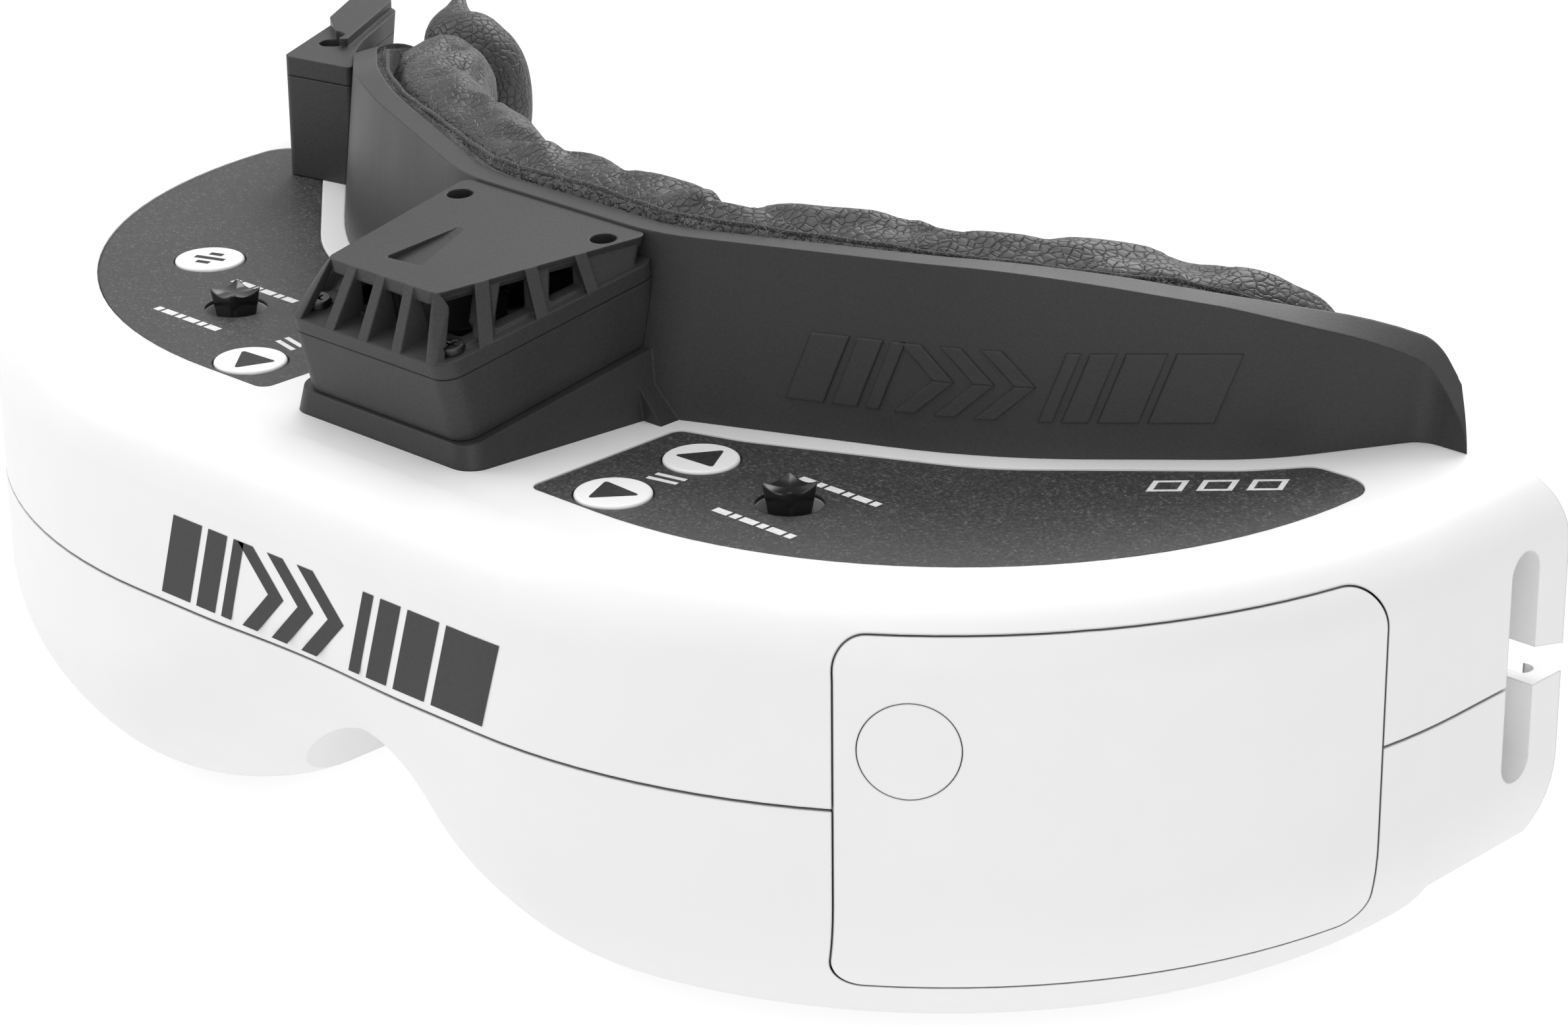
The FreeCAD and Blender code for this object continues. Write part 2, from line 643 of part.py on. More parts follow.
def face_band(near, far):
    """A band that follows the face curve between two distances behind it."""
    points, radii = symmetric(FACE, FACE_RADII)
    front = shifted(points, near)
    back = shifted(points, far)
    outline = front + list(reversed(back))
    face = flat_face(outline, radii + list(reversed(radii)))
    face.translate(V(0, 0, DECK_Z))
    upper = face.extrude(V(0, FACE_LEAN, TOP_Z - DECK_Z))
    lower = face.extrude(V(0, 0, -DECK_Z - 1))
    return upper.fuse(lower)


def face_outline(inset, top_rise):
    """The face plate seen from the front, as a prism along Y, with its edge moved in by inset."""
    hood, radii = symmetric(HOOD, HOOD_RADII)
    squeeze = (HALF_WIDTH - inset * 1.1) / HALF_WIDTH
    points = [(x * squeeze, z - inset + top_rise) for x, z in hood]
    side = points[-1][0]
    floor = PLATE_LOW + inset
    lower = [(side, floor), (28.0, floor), (14.0, 6.5 + inset)]
    points = points + lower + [(-x, z) for x, z in reversed(lower)]
    return front_prism(points, radii + [15.0, 14.0, 4.0, 4.0, 14.0, 15.0], -40, 60)


def temple_cut():
    """Everything beyond a slanted line behind each end of the hood, so that its edge is sharp."""
    start = (TEMPLE_X, FACE[-1][1] - 0.1)
    reach = 50.0
    points = [start, (BOX, start[1]), (BOX, start[1] + reach), (start[0] - reach, start[1] + reach)]
    return both(plan_prism(points, [0] * 4, -2, TOP_Z + 3))


def eye_windows():
    reach = BARREL_RADIUS + 0.8
    windows = []
    for middle in (-EYE_X, EYE_X):
        points = [(middle - EYE_TRAVEL - reach, EYE_Z - reach), (middle + EYE_TRAVEL + reach, EYE_Z - reach)]
        points += [(middle + EYE_TRAVEL + reach, EYE_Z + reach), (middle - EYE_TRAVEL - reach, EYE_Z + reach)]
        windows.append(front_prism(points, [reach - 0.1] * 4, -20, 30))
    return windows


def pad_opening():
    points = [(-62, 19), (-62, 48), (-46, 52.2), (46, 52.2), (62, 48), (62, 19), (50, 12.5)]
    radii = [14, 10, 20, 20, 10, 14, 12]
    points += [(24, 12.5), (11, 29), (-11, 29), (-24, 12.5), (-50, 12.5)]
    radii += [12, 8, 8, 12, 12]
    return front_prism(points, radii, -40, 60)


def build_face():
    trim = [ear_step(0.6), temple_cut()]
    plate = face_band(0, PLATE).common(face_outline(0, 0)).cut([nose_cut(-0.6)] + trim)
    plate = plate.cut(eye_windows())
    plate = plate.fuse(pod_wedge()).cut(pod_duct())
    parts["face_plate"] = plate.removeSplitter()
    holes = [pad_opening(), nose_cut(1.0)] + trim
    parts["hook_strip"] = face_band(PLATE, PLATE + HOOK).common(face_outline(0.9, 0.3)).cut(holes)
    near = PLATE + HOOK + PAD_GAP
    crown = face_band(near, near + PAD_CROWN).common(face_outline(0.9, 1.4))
    back = face_band(near + PAD_CROWN, near + PAD).common(face_outline(3.6, 1.4))
    pad = crown.fuse(back).cut(holes)
    pad = pad.common(box(-HALF_WIDTH, HALF_WIDTH, -40, REAR_Y, PLATE_LOW, TOP_Z))
    parts["face_pad"] = max(pad.Solids, key=lambda s: s.Volume)


# ---------------------------------------------------------------- fan pod

def pod_place(shape):
    placed = shape.copy()
    placed.rotate(V(0, 0, 0), V(1, 0, 0), FAN_TILT)
    placed.translate(FAN_ORIGIN)
    return placed


def pod_wire(front_half, back_half, v0, v1, w0, w1, radius):
    """A four-sided outline with rounded corners on the plane from (v0, w0) to (v1, w1)."""
    points = [(-front_half, 0), (front_half, 0), (back_half, v1 - v0), (-back_half, v1 - v0)]
    wire = rounded_wire(points, [radius] * 4)
    slope = math.degrees(math.atan2(w1 - w0, v1 - v0))
    wire.rotate(V(0, 0, 0), V(1, 0, 0), slope)
    wire.translate(V(0, v0, w0))
    return wire


def pod_loft(low, high):
    return Part.makeLoft([pod_wire(*low), pod_wire(*high)], True, True)


def pod_wedge():
    points = [(-13.0, -33.8), (13.0, -33.8), (15.5, -9.8), (-15.5, -9.8)]
    foot = rounded_wire(points, [2.5, 2.5, 0.6, 0.6])
    foot.translate(V(0, 0, DECK_Z))
    top_points = [(-12.5, -0.3), (12.5, -0.3), (14.2, 24.2), (-14.2, 24.2)]
    top = rounded_wire(top_points, [2.2, 2.2, 0.6, 0.6])
    top.rotate(V(0, 0, 0), V(1, 0, 0), FAN_TILT)
    top.translate(FAN_ORIGIN)
    wedge = Part.makeLoft([foot, top], True, True)
    gusset_points = [(-12.0, DECK_Z + 6.4), (12.0, DECK_Z + 6.4), (17.6, DECK_Z), (-17.6, DECK_Z)]
    gusset = front_prism(gusset_points, [0] * 4, -12.6, -9.5)
    return wedge.fuse(gusset)


def pod_duct():
    """The air way through the foot of the pod and through the plate to the eyes."""
    well = pod_place(rod(ROTOR_RADIUS, V(0, FAN_V, -2.2), V(0, FAN_V, 3)))
    slot = box(-9, 9, -24, 2, DECK_Z + 1.4, DECK_Z + 4.4)
    return [well, slot]


def pod_interior(low_w, high_w):
    low = (10.3, 12.3, 1.0, 23.0, low_w, low_w, 1.2)
    high = (10.3, 12.5, 1.0, 23.0, high_w, high_w, 1.2)
    return pod_loft(low, high)


def roof_w(v):
    """Height of the roof over the pod's base at a distance v up the slope."""
    v0, w0, v1, w1 = ROOF_LINE
    return w0 + (w1 - w0) * (v - v0) / (v1 - v0)


def side_x(v):
    """Half width of the cover's ledge at a distance v up the slope."""
    return 11.4 + (13.9 - 11.4) * v / 24.4


def front_ribs():
    """Three deep fins and, at each corner, a post only as deep as it is wide."""
    ribs = []
    for foot, top in FRONT_RIBS:
        outline = [(foot - RIB / 2, 8.0), (foot + RIB / 2, 8.0), (top + RIB / 2, 15), (top - RIB / 2, 15)]
        rib = front_prism(outline, [0] * 4, -2, 3.6)
        if foot in (FRONT_RIBS[0][0], FRONT_RIBS[-1][0]):
            slope = (3.2 + 0.55) / (13.9 - LEDGE_W)
            v_low = -0.55 - slope * 0.6
            v_high = 3.2 + slope * 1.1
            post = [(v_low - 2, 8.0), (v_low + RIB, 8.0), (v_high + RIB, 15), (v_high - 2, 15)]
            rib = rib.common(side_prism(post, [0] * 4, -12, 12))
        ribs.append(rib)
    return ribs


def side_ribs():
    """Upright fins that run from under the roof's edge out and forward to the ledge."""
    ribs = []
    for foot, top in SIDE_RIBS:
        inner = V(side_x(top) - 4.4, top + 0.6, 0)
        outer = V(side_x(foot) + 1.0, foot - 0.2, 0)
        across = (outer - inner).cross(V(0, 0, 1)).normalize() * (RIB / 2)
        corners = [inner - across, outer - across, outer + across, inner + across]
        rib = plan_prism([(c.x, c.y) for c in corners], [0] * 4, LEDGE_W - 0.6, 15)
        ribs += [rib, mirrored(rib)]
    return ribs


def build_fan_pod():
    low = (11.6, 13.3, 0.1, 26.0, 0.05, 0.05, 2.2)
    seam = (11.5, 14.0, -0.4, 26.4, SEAM_W - 0.05, SEAM_W - 0.05, 2.2)
    housing = pod_place(pod_loft(low, seam).cut(pod_interior(-1, 9)))
    parts["fan_housing"] = housing.cut(face_region_raised())

    skirt_low = (11.5, 14.0, -0.4, 26.4, SEAM_W + 0.05, SEAM_W + 0.05, 2.2)
    ledge = (11.4, 14.1, -0.55, 26.4, LEDGE_W, LEDGE_W, 2.2)
    roof = (7.9, 13.2, 3.2, 26.6, 13.9, 10.9, 1.2)
    envelope = pod_loft(ledge, roof)
    skirt = pod_loft(skirt_low, ledge)
    core_low = (10.7, 13.1, 3.1, 24.2, LEDGE_W - 0.5, LEDGE_W - 0.5, 0.8)
    core_high = (7.5, 12.7, 3.5, 26.2, 13.5, 10.6, 0.8)
    core = pod_loft(core_low, core_high).cut(vent_openings())
    cap_low = (7.3, 12.7, 2.9, 26.3, 12.7, 9.7, 1.0)
    cap = pod_loft(cap_low, roof).common(envelope)
    ribs = [envelope.common(rib) for rib in front_ribs() + side_ribs()]
    cover = skirt.fuse([core, cap] + ribs)
    inner_low = (9.4, 11.8, 4.3, 22.9, LEDGE_W - 1.0, LEDGE_W - 1.0, 0.6)
    inner_high = (6.6, 11.4, 4.9, 24.8, 12.8, 9.9, 0.6)
    cover = cover.cut([pod_interior(SEAM_W - 1, LEDGE_W - 0.95), pod_loft(inner_low, inner_high)])
    cover = cover.cut(pod_screw_holes() + [roof_mark()])
    cover = pod_place(cover).cut(face_region_raised())
    parts["fan_cover"] = max(cover.Solids, key=lambda s: s.Volume)

    screws = []
    for spot, seat, height in ((LEDGE_SCREW, LEDGE_W, 0.8), (ROOF_SCREW, ROOF_SEAT, 1.2)):
        for side in (-1, 1):
            x = side * spot[0]
            top = V(x, spot[1], seat + height)
            head = rod(SCREW_HEAD, V(x, spot[1], seat), top).cut(cross_recess(top))
            shank = rod(SCREW_SHANK, V(x, spot[1], SCREW_END), V(x, spot[1], seat))
            screws.append(head.fuse(shank))
    parts["fan_screws"] = pod_place(Part.makeCompound(screws))


def cross_recess(top):
    across = box(top.x - 0.75, top.x + 0.75, top.y - 0.17, top.y + 0.17, top.z - 0.45, top.z + 0.1)
    along = box(top.x - 0.17, top.x + 0.17, top.y - 0.75, top.y + 0.75, top.z - 0.45, top.z + 0.1)
    return across.fuse(along)


def pod_screw_holes():
    holes = []
    shank = SCREW_SHANK + 0.05
    for side in (-1, 1):
        for spot, seat in ((LEDGE_SCREW, LEDGE_W), (ROOF_SCREW, ROOF_SEAT)):
            x, v = side * spot[0], spot[1]
            depth = 1.0 if seat == LEDGE_W else 8.0
            holes.append(rod(SCREW_HEAD + 0.1, V(x, v, seat), V(x, v, seat + depth)))
            holes.append(rod(shank, V(x, v, 0), V(x, v, seat + 1)))
    return holes


def vent_openings():
    """Windows in the cover's walls: four between the front ribs and three on each side."""
    cuts = []
    low = LEDGE_W + 0.3
    for left, right in zip(FRONT_RIBS, FRONT_RIBS[1:]):
        foot = (left[0] + RIB / 4, right[0] - RIB / 4)
        top = (left[1] + RIB / 4, right[1] - RIB / 4)
        points = [(foot[0], low), (foot[1], low), (top[1], 13.1), (top[0], 13.1)]
        cuts.append(front_prism(points, [0] * 4, 1.0, 6.0))
    for (low_start, high_start), (low_end, high_end) in SIDE_WINDOWS:
        top_start = roof_w(high_start) - 0.8
        top_end = roof_w(high_end) - 0.8
        points = [(low_start, low), (low_end, low), (high_end, top_end), (high_start, top_start)]
        cut = side_prism(points, [0.3, 0.3, 0, 0], 4.0, 14.0)
        cuts += [cut, mirrored(cut)]
    return cuts


def roof_mark():
    """A shallow tapered flute in the roof, deepest at its front end."""
    points = [(-3.4, 6.8), (1.2, 7.2), (-3.6, 18.5)]
    face = flat_face(points, [0.4, 0.4, 0])
    face.translate(V(0, 0, 12.2))
    return face.extrude(V(0, 0, 5)).common(flute_room())


def flute_room():
    deep = roof_w(6.5) - 0.8
    shallow = roof_w(18.5) - 0.02
    return side_prism([(6.0, deep), (18.5, shallow), (18.5, 20), (6.0, 20)], [0] * 4, -6, 6)


def build_fan():
    low = 0.5
    half = FAN_SIZE / 2
    frame = box(-half, half, FAN_V - half, FAN_V + half, low, low + FAN_HEIGHT)
    centre = V(0, FAN_V, 0)
    frame = frame.cut(rod(ROTOR_RADIUS + 0.5, centre + V(0, 0, -1), centre + V(0, 0, 9)))
    for x in (-8.4, 8.4):
        for v in (FAN_V - 8.4, FAN_V + 8.4):
            frame = frame.cut(rod(0.9, V(x, v, -1), V(x, v, 9)))
    struts = []
    for i in range(3):
        strut = box(3.0, ROTOR_RADIUS + 0.7, -0.7, 0.7, low, low + 0.8)
        strut.rotate(V(0, 0, 0), V(0, 0, 1), 30 + 120 * i)
        strut.translate(centre)
        struts.append(strut)
    base = rod(4.6, centre + V(0, 0, low), centre + V(0, 0, low + 0.8))
    pin = rod(0.7, centre + V(0, 0, low + 0.7), centre + V(0, 0, low + 4.0))
    parts["fan_frame"] = pod_place(frame.fuse(struts + [base, pin]))

    hub_low = low + 1.1
    hub_high = low + FAN_HEIGHT - 0.3
    hub = rod(4.6, centre + V(0, 0, hub_low), centre + V(0, 0, hub_high))
    hub = hub.cut(rod(0.75, centre, centre + V(0, 0, low + 4.3)))
    blades = []
    blade_count = 7
    for i in range(blade_count):
        blade = box(4.2, ROTOR_RADIUS, -0.35, 0.35, -3.4, 3.4)
        blade.rotate(V(0, 0, 0), V(1, 0, 0), 48)
        blade.rotate(V(0, 0, 0), V(0, 0, 1), 360 / blade_count * i)
        blade.translate(centre + V(0, 0, (hub_low + hub_high) / 2))
        blades.append(blade)
    keep = rod(ROTOR_RADIUS, centre + V(0, 0, hub_low), centre + V(0, 0, hub_high))
    rotor = hub.fuse([blade.common(keep) for blade in blades])
    parts["fan_rotor"] = pod_place(rotor)


# ---------------------------------------------------------------- power pod on the -X wing

def build_power_pod():
    top = DECK_Z + 14.0
    points = [(-61.0, 16.8), (-70.2, 15.0), (-75.8, 27.0), (-80.2, 34.2), (-71.8, 39.4)]
    pod = plan_prism(points, [0.5, 1.0, 0.5, 1.5, 1.0], DECK_Z, top)
    hump_points = [(-66.5, 20.5), (-75.6, 26.6), (-80.2, 34.2), (-76.0, 36.8)]
    hump = plan_prism(hump_points, [0.5, 1.2, 1.5, 1.0], DECK_Z, top + 1.0)
    whole = pod.fuse(hump)
    whole = max(whole.cut(face_region_raised()).Solids, key=lambda s: s.Volume)
    hole = rod(1.5, V(-70.0, 22.0, top - 1.6), V(-70.0, 22.0, top + 3))
    whole = whole.cut(hole)
    room_points = [(-64.5, 19.2), (-69.6, 18.4), (-74.3, 28.0), (-75.5, 31.2), (-72.2, 31.2)]
    room = plan_prism(room_points, [0.5] * 5, DECK_Z + 1.5, top - 2.2)
    whole = whole.cut(room)
    lid = whole.common(box(-90, -50, 0, 60, top - 2.15, top + 5))
    case = whole.common(box(-90, -50, 0, 60, DECK_Z, top - 2.25))
    socket_y = 23.5
    socket_z = DECK_Z + 7.0
    bore = box(-80, -70.5, socket_y - 3.2, socket_y + 3.2, socket_z - 2.2, socket_z + 2.2)
    case = case.cut(bore)
    parts["fan_power_lid"] = max(lid.Solids, key=lambda s: s.Volume)
    parts["fan_power_pod"] = max(case.Solids, key=lambda s: s.Volume)
    head = rod(1.35, V(-70.0, 22.0, top - 1.6), V(-70.0, 22.0, top - 0.6))
    parts["pod_screw"] = head.cut(cross_recess(V(-70.0, 22.0, top - 0.6)))


def face_region_raised():
    points, radii = symmetric(FACE, FACE_RADII)
    outline = [(points[0][0], 60)] + points + [(points[-1][0], 60)]
    face = flat_face(outline, [0] + radii + [0])
    face.translate(V(0, 0, DECK_Z))
    return face.extrude(V(0, FACE_LEAN, TOP_Z - DECK_Z))


def build_all():
    build_door(build_shells())
    build_tray()
    build_ports()
    build_labels()
    build_buttons()
    build_stick("menu_stick", STICK[0], STICK[1])
    build_stick("record_stick", -STICK[0], STICK[1])
    build_boards()
    build_eye("left", False)
    build_eye("right", True)
    build_face()
    build_fan_pod()
    build_fan()
    build_power_pod()


build_all()
os.makedirs("parts", exist_ok=True)
for name, shape in parts.items():
    shape.exportStep("parts/" + name + ".step")
    print(name, len(shape.Solids), round(shape.Volume, 1), shape.isValid())
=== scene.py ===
import json
import math
import random

import bpy
from mathutils import Matrix, Vector, noise


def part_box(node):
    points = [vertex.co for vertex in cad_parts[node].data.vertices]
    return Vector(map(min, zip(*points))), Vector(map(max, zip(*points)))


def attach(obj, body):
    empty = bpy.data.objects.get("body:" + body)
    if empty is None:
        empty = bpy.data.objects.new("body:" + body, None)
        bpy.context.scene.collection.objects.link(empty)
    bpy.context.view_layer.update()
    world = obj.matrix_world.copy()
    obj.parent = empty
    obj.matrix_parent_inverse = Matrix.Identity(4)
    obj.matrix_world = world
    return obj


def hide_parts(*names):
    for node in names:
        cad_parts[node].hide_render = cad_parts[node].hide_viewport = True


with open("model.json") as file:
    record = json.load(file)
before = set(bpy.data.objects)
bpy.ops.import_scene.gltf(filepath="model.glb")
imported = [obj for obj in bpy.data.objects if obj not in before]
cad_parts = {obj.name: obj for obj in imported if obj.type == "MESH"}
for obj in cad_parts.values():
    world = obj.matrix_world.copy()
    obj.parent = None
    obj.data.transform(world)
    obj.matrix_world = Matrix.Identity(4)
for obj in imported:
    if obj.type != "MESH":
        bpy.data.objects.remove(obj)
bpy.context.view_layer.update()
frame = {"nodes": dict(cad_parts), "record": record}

MM = 0.001
NODES = frame["nodes"]
SLOTS = {part["node"]: part["material_slot"] for part in frame["record"]["subparts"]}

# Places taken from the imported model, and the deck height and top of the face plate in millimetres
LABEL_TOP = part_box("left_label")[1].z
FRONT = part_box("upper_shell")[0].y
DECK_MM = 47.0
TOP_MM = 68.0

# The face curve seen from above, right half (millimetres), and how far it leans back up to the top
FACE = [(0.0, -11.6), (14.0, -11.6), (46.5, 2.3), (66.5, 20.3), (74.6, 34.4)]
FACE_RADII = [0.0, 20.0, 60.0, 30.0, 0.0]
FACE_LEAN = 2.9
HOOK_BACK = 4.0


# ---------------------------------------------------------------- camera, light and floor

CAMERA_TURN = 43.819
CAMERA_RISE = 22.485
CAMERA_ROLL = -0.521
CAMERA_PLACE = (304.93, -294.77, 204.44)
CAMERA_LENS = 101.57

# Name, place, diameter and power of each soft light, in metres and watts
LIGHTS = [
    ("left_light", (-0.75, -0.35, 0.55), 0.6, 3.0),
    ("back_light", (-0.25, 0.8, 0.65), 0.8, 6.5),
    ("top_light", (-0.10, -0.05, 1.10), 0.9, 4.4),
    ("front_light", (0.75, -0.75, 0.35), 0.8, 2.2),
]
WORLD_LIGHT = 0.64
FLOOR_GLOW = 0.9


def make_camera():
    turn, rise, roll = (math.radians(a) for a in (CAMERA_TURN, CAMERA_RISE, CAMERA_ROLL))
    right = Vector((math.cos(turn), math.sin(turn), 0))
    up = Vector((-math.sin(turn) * math.sin(rise), math.cos(turn) * math.sin(rise), math.cos(rise)))
    back = Vector((math.sin(turn) * math.cos(rise), -math.cos(turn) * math.cos(rise), math.sin(rise)))
    level_right = right * math.cos(roll) + up * math.sin(roll)
    level_up = up * math.cos(roll) - right * math.sin(roll)
    data = bpy.data.cameras.new("camera")
    data.lens = CAMERA_LENS
    data.sensor_width = 36
    data.clip_start = 0.01
    camera = bpy.data.objects.new("camera", data)
    axes = Matrix((level_right, level_up, back)).transposed()
    camera.matrix_world = Matrix.Translation(Vector(CAMERA_PLACE) * MM) @ axes.to_4x4()
    bpy.context.scene.collection.objects.link(camera)
    bpy.context.scene.camera = camera


def area_light(name, place, target, size, power):
    data = bpy.data.lights.new(name, "AREA")
    data.shape = "DISK"
    data.size = size
    data.energy = power
    light = bpy.data.objects.new(name, data)
    light.location = place
    light.rotation_euler = (Vector(target) - Vector(place)).to_track_quat("-Z", "Y").to_euler()
    bpy.context.scene.collection.objects.link(light)


def make_studio():
    world = bpy.data.worlds.new("studio")
    world.use_nodes = True
    background = world.node_tree.nodes["Background"]
    background.inputs["Color"].default_value = (1, 1, 1, 1)
    background.inputs["Strength"].default_value = WORLD_LIGHT
    bpy.context.scene.world = world
    bpy.context.scene.view_settings.view_transform = "Standard"
    for name, place, size, power in LIGHTS:
        area_light(name, place, (0, 0, 0.03), size, power)
    mesh = bpy.data.meshes.new("floor")
    reach = 6.0
    mesh.from_pydata([(-reach, -reach, 0), (reach, -reach, 0), (reach, reach, 0), (-reach, reach, 0)],
                     [], [(0, 1, 2, 3)])
    floor = bpy.data.objects.new("floor", mesh)
    bpy.context.scene.collection.objects.link(floor)
    floor.location.z = -0.0002
    floor.data.materials.append(plain_floor())


# ---------------------------------------------------------------- materials

EDGE_SOFTNESS = 0.28


class Shader:
    """A small helper that builds one node material from nested calls."""

    def __init__(self, name, roughness=0.5, specular=0.5, metallic=0.0):
        self.material = bpy.data.materials.new(name)
        self.material.use_nodes = True
        self.tree = self.material.node_tree
        self.surface = self.tree.nodes["Principled BSDF"]
        self.set("Roughness", roughness)
        self.set("Specular IOR Level", specular)
        self.set("Metallic", metallic)
        self.place = self.tree.nodes.new("ShaderNodeTexCoord").outputs["Object"]

    def set(self, socket, value):
        self.surface.inputs[socket].default_value = value

    def link(self, output, socket):
        self.tree.links.new(output, self.surface.inputs[socket])

    def node(self, kind, **inputs):
        made = self.tree.nodes.new(kind)
        for key, value in inputs.items():
            socket = made.inputs[key.replace("_", " ")]
            if isinstance(value, bpy.types.NodeSocket):
                self.tree.links.new(value, socket)
            else:
                socket.default_value = value
        return made

    def stretched(self, scale):
        mapping = self.node("ShaderNodeMapping", Vector=self.place, Scale=scale)
        return mapping.outputs["Vector"]

    def wandering(self, size_mm, reach_mm):
        """The place on the surface, pushed about so that a regular pattern turns irregular."""
        drift = self.node("ShaderNodeTexNoise", Vector=self.place, Scale=1000.0 / size_mm, Detail=2.0)
        push = self.tree.nodes.new("ShaderNodeVectorMath")
        push.operation = "MULTIPLY_ADD"
        self.tree.links.new(drift.outputs["Color"], push.inputs[0])
        push.inputs[1].default_value = (2 * reach_mm * MM,) * 3
        self.tree.links.new(self.place, push.inputs[2])
        return push.outputs["Vector"]

    def painted_crevice_shade(self, reach_mm, stops):
        """Painted shade: an ambient-occlusion grey that darkens inside slots, seams and corners closer than
        a reach.
        """
        nearby = self.node("ShaderNodeAmbientOcclusion", Distance=reach_mm * MM)
        nearby.samples = 8
        return self.ramp(nearby.outputs["AO"], stops)

    def multiplied(self, first, second):
        """Two colours multiplied together."""
        made = self.tree.nodes.new("ShaderNodeMix")
        made.data_type = "RGBA"
        made.blend_type = "MULTIPLY"
        made.inputs["Factor"].default_value = 1.0
        self.tree.links.new(first, made.inputs[6])
        self.tree.links.new(second, made.inputs[7])
        return made.outputs[2]

    def noise(self, size_mm, detail=3.0, roughness=0.5, vector=None):
        made = self.node("ShaderNodeTexNoise", Vector=vector or self.place, Scale=1000.0 / size_mm,
                         Detail=detail, Roughness=roughness)
        return made.outputs["Fac"]

    def cells(self, size_mm, vector):
        """The distance from the edges of rounded cells."""
        made = self.node("ShaderNodeTexVoronoi", Vector=vector, Scale=1000.0 / size_mm)
        made.feature = "DISTANCE_TO_EDGE"
        return made.outputs["Distance"]

    def ramp(self, factor, stops):
        made = self.tree.nodes.new("ShaderNodeValToRGB")
        self.tree.links.new(factor, made.inputs["Fac"])
        elements = made.color_ramp.elements
        while len(elements) < len(stops):
            elements.new(0.5)
        for element, (where, grey) in zip(elements, stops):
            element.position = where
            element.color = (*grey, 1) if isinstance(grey, tuple) else (grey, grey, grey, 1)
        return made.outputs["Color"]

    def math(self, operation, first, second):
        made = self.tree.nodes.new("ShaderNodeMath")
        made.operation = operation
        for socket, value in zip(made.inputs, (first, second)):
            if isinstance(value, bpy.types.NodeSocket):
                self.tree.links.new(value, socket)
            else:
                socket.default_value = value
        return made.outputs["Value"]

    def rough(self, factor, low, high):
        self.link(self.ramp(factor, [(0.3, low), (0.7, high)]), "Roughness")

    def bump(self, heights):
        """Bump from a list of (height, depth in mm), over edges softened by a small radius."""
        edge = self.node("ShaderNodeBevel", Radius=EDGE_SOFTNESS * MM)
        edge.samples = 4
        normal = edge.outputs["Normal"]
        for height, depth in heights:
            made = self.node("ShaderNodeBump", Height=height, Distance=depth * MM, Strength=1.0)
            self.tree.links.new(normal, made.inputs["Normal"])
            normal = made.outputs["Normal"]
        self.link(normal, "Normal")


def plain_floor():
    """A pale floor lit from below like a light table, so that no hard shadow falls on it."""
    made = Shader("floor_white", roughness=0.6, specular=0.0)
    pale = made.ramp(made.noise(60.0), [(0.3, 0.98), (0.7, 1.0)])
    made.link(made.ramp(made.noise(60.0), [(0.3, 0.16), (0.7, 0.17)]), "Base Color")
    made.link(pale, "Emission Color")
    made.set("Emission Strength", FLOOR_GLOW)
    return made.material


def white_plastic(name, bright=0.79):
    """Satin white moulding with a barely visible spark-eroded texture, its colour darkened by painted shade
    in slots, seams and corners.
    """
    made = Shader(name, specular=0.45)
    mottle = made.noise(9.0, 4.0)
    tone = made.ramp(mottle, [(0.3, bright - 0.012), (0.7, bright)])
    # Painted shade: the mottled tone is multiplied by an ambient-occlusion grey that darkens slots, seams
    # and corners
    made.link(made.multiplied(tone, made.painted_crevice_shade(4.0, [(0.05, 0.30), (0.45, 1.0)])), "Base Color")
    made.rough(made.noise(3.0, 5.0), 0.36, 0.46)
    made.bump([(made.noise(0.35, 2.0), 0.006), (made.noise(14.0, 2.0), 0.03)])
    return made.material


def grained_black(name, dark, light, grain_mm, depth, low, high, specular=0.4):
    """Moulded black plastic with an even grain and slightly paler wear on its high spots."""
    made = Shader(name, specular=specular)
    grain = made.noise(grain_mm, 3.0, 0.6)
    drift = made.noise(14.0, 3.0)
    mixed = made.math("ADD", made.math("MULTIPLY", grain, 0.6), made.math("MULTIPLY", drift, 0.4))
    made.link(made.ramp(mixed, [(0.32, dark), (0.68, light)]), "Base Color")
    made.rough(drift, low, high)
    made.bump([(grain, depth)])
    return made.material


def label_film():
    """Charcoal film with a fine metallic fleck."""
    made = Shader("label_film", specular=0.45)
    grain = made.noise(0.32, 2.0, 0.7)
    drift = made.noise(20.0, 2.0)
    fleck = made.ramp(grain, [(0.40, 0.030), (0.60, 0.052), (0.74, 0.16)])
    made.link(made.multiplied(fleck, made.ramp(drift, [(0.3, 0.86), (0.7, 1.0)])), "Base Color")
    made.rough(grain, 0.42, 0.62)
    made.bump([(grain, 0.02)])
    return made.material


def leather():
    """Black faux leather: small cells split by creases, over a softer crumple."""
    made = Shader("pad_leather", specular=0.5)
    cells = made.cells(0.95, made.wandering(1.6, 0.35))
    crease = made.ramp(cells, [(0.0, 0.0), (0.10, 0.75), (0.32, 1.0)])
    gathers = made.cells(5.5, made.wandering(7.0, 2.4))
    wrinkle = made.ramp(gathers, [(0.0, 0.0), (0.05, 0.6), (0.18, 1.0)])
    pores = made.noise(0.3, 3.0)
    soft = made.noise(6.0, 4.0)
    depth = made.math("MULTIPLY", crease, soft)
    made.link(made.ramp(depth, [(0.0, 0.008), (0.25, 0.022), (0.6, 0.040)]), "Base Color")
    made.rough(soft, 0.40, 0.56)
    made.bump([(crease, 0.12), (wrinkle, 0.05), (pores, 0.015), (soft, 0.25)])
    return made.material


def hook_cloth():
    """Brushed hook tape."""
    made = Shader("hook_cloth", roughness=0.9, specular=0.15)
    fuzz = made.noise(0.22, 4.0, 0.7)
    tufts = made.noise(1.3, 3.0)
    made.link(made.ramp(made.math("MULTIPLY", fuzz, tufts), [(0.12, 0.010), (0.3, 0.03), (0.45, 0.10)]),
              "Base Color")
    made.set("Sheen Weight", 0.4)
    made.set("Sheen Roughness", 0.5)
    made.bump([(fuzz, 0.18), (tufts, 0.25)])
    return made.material


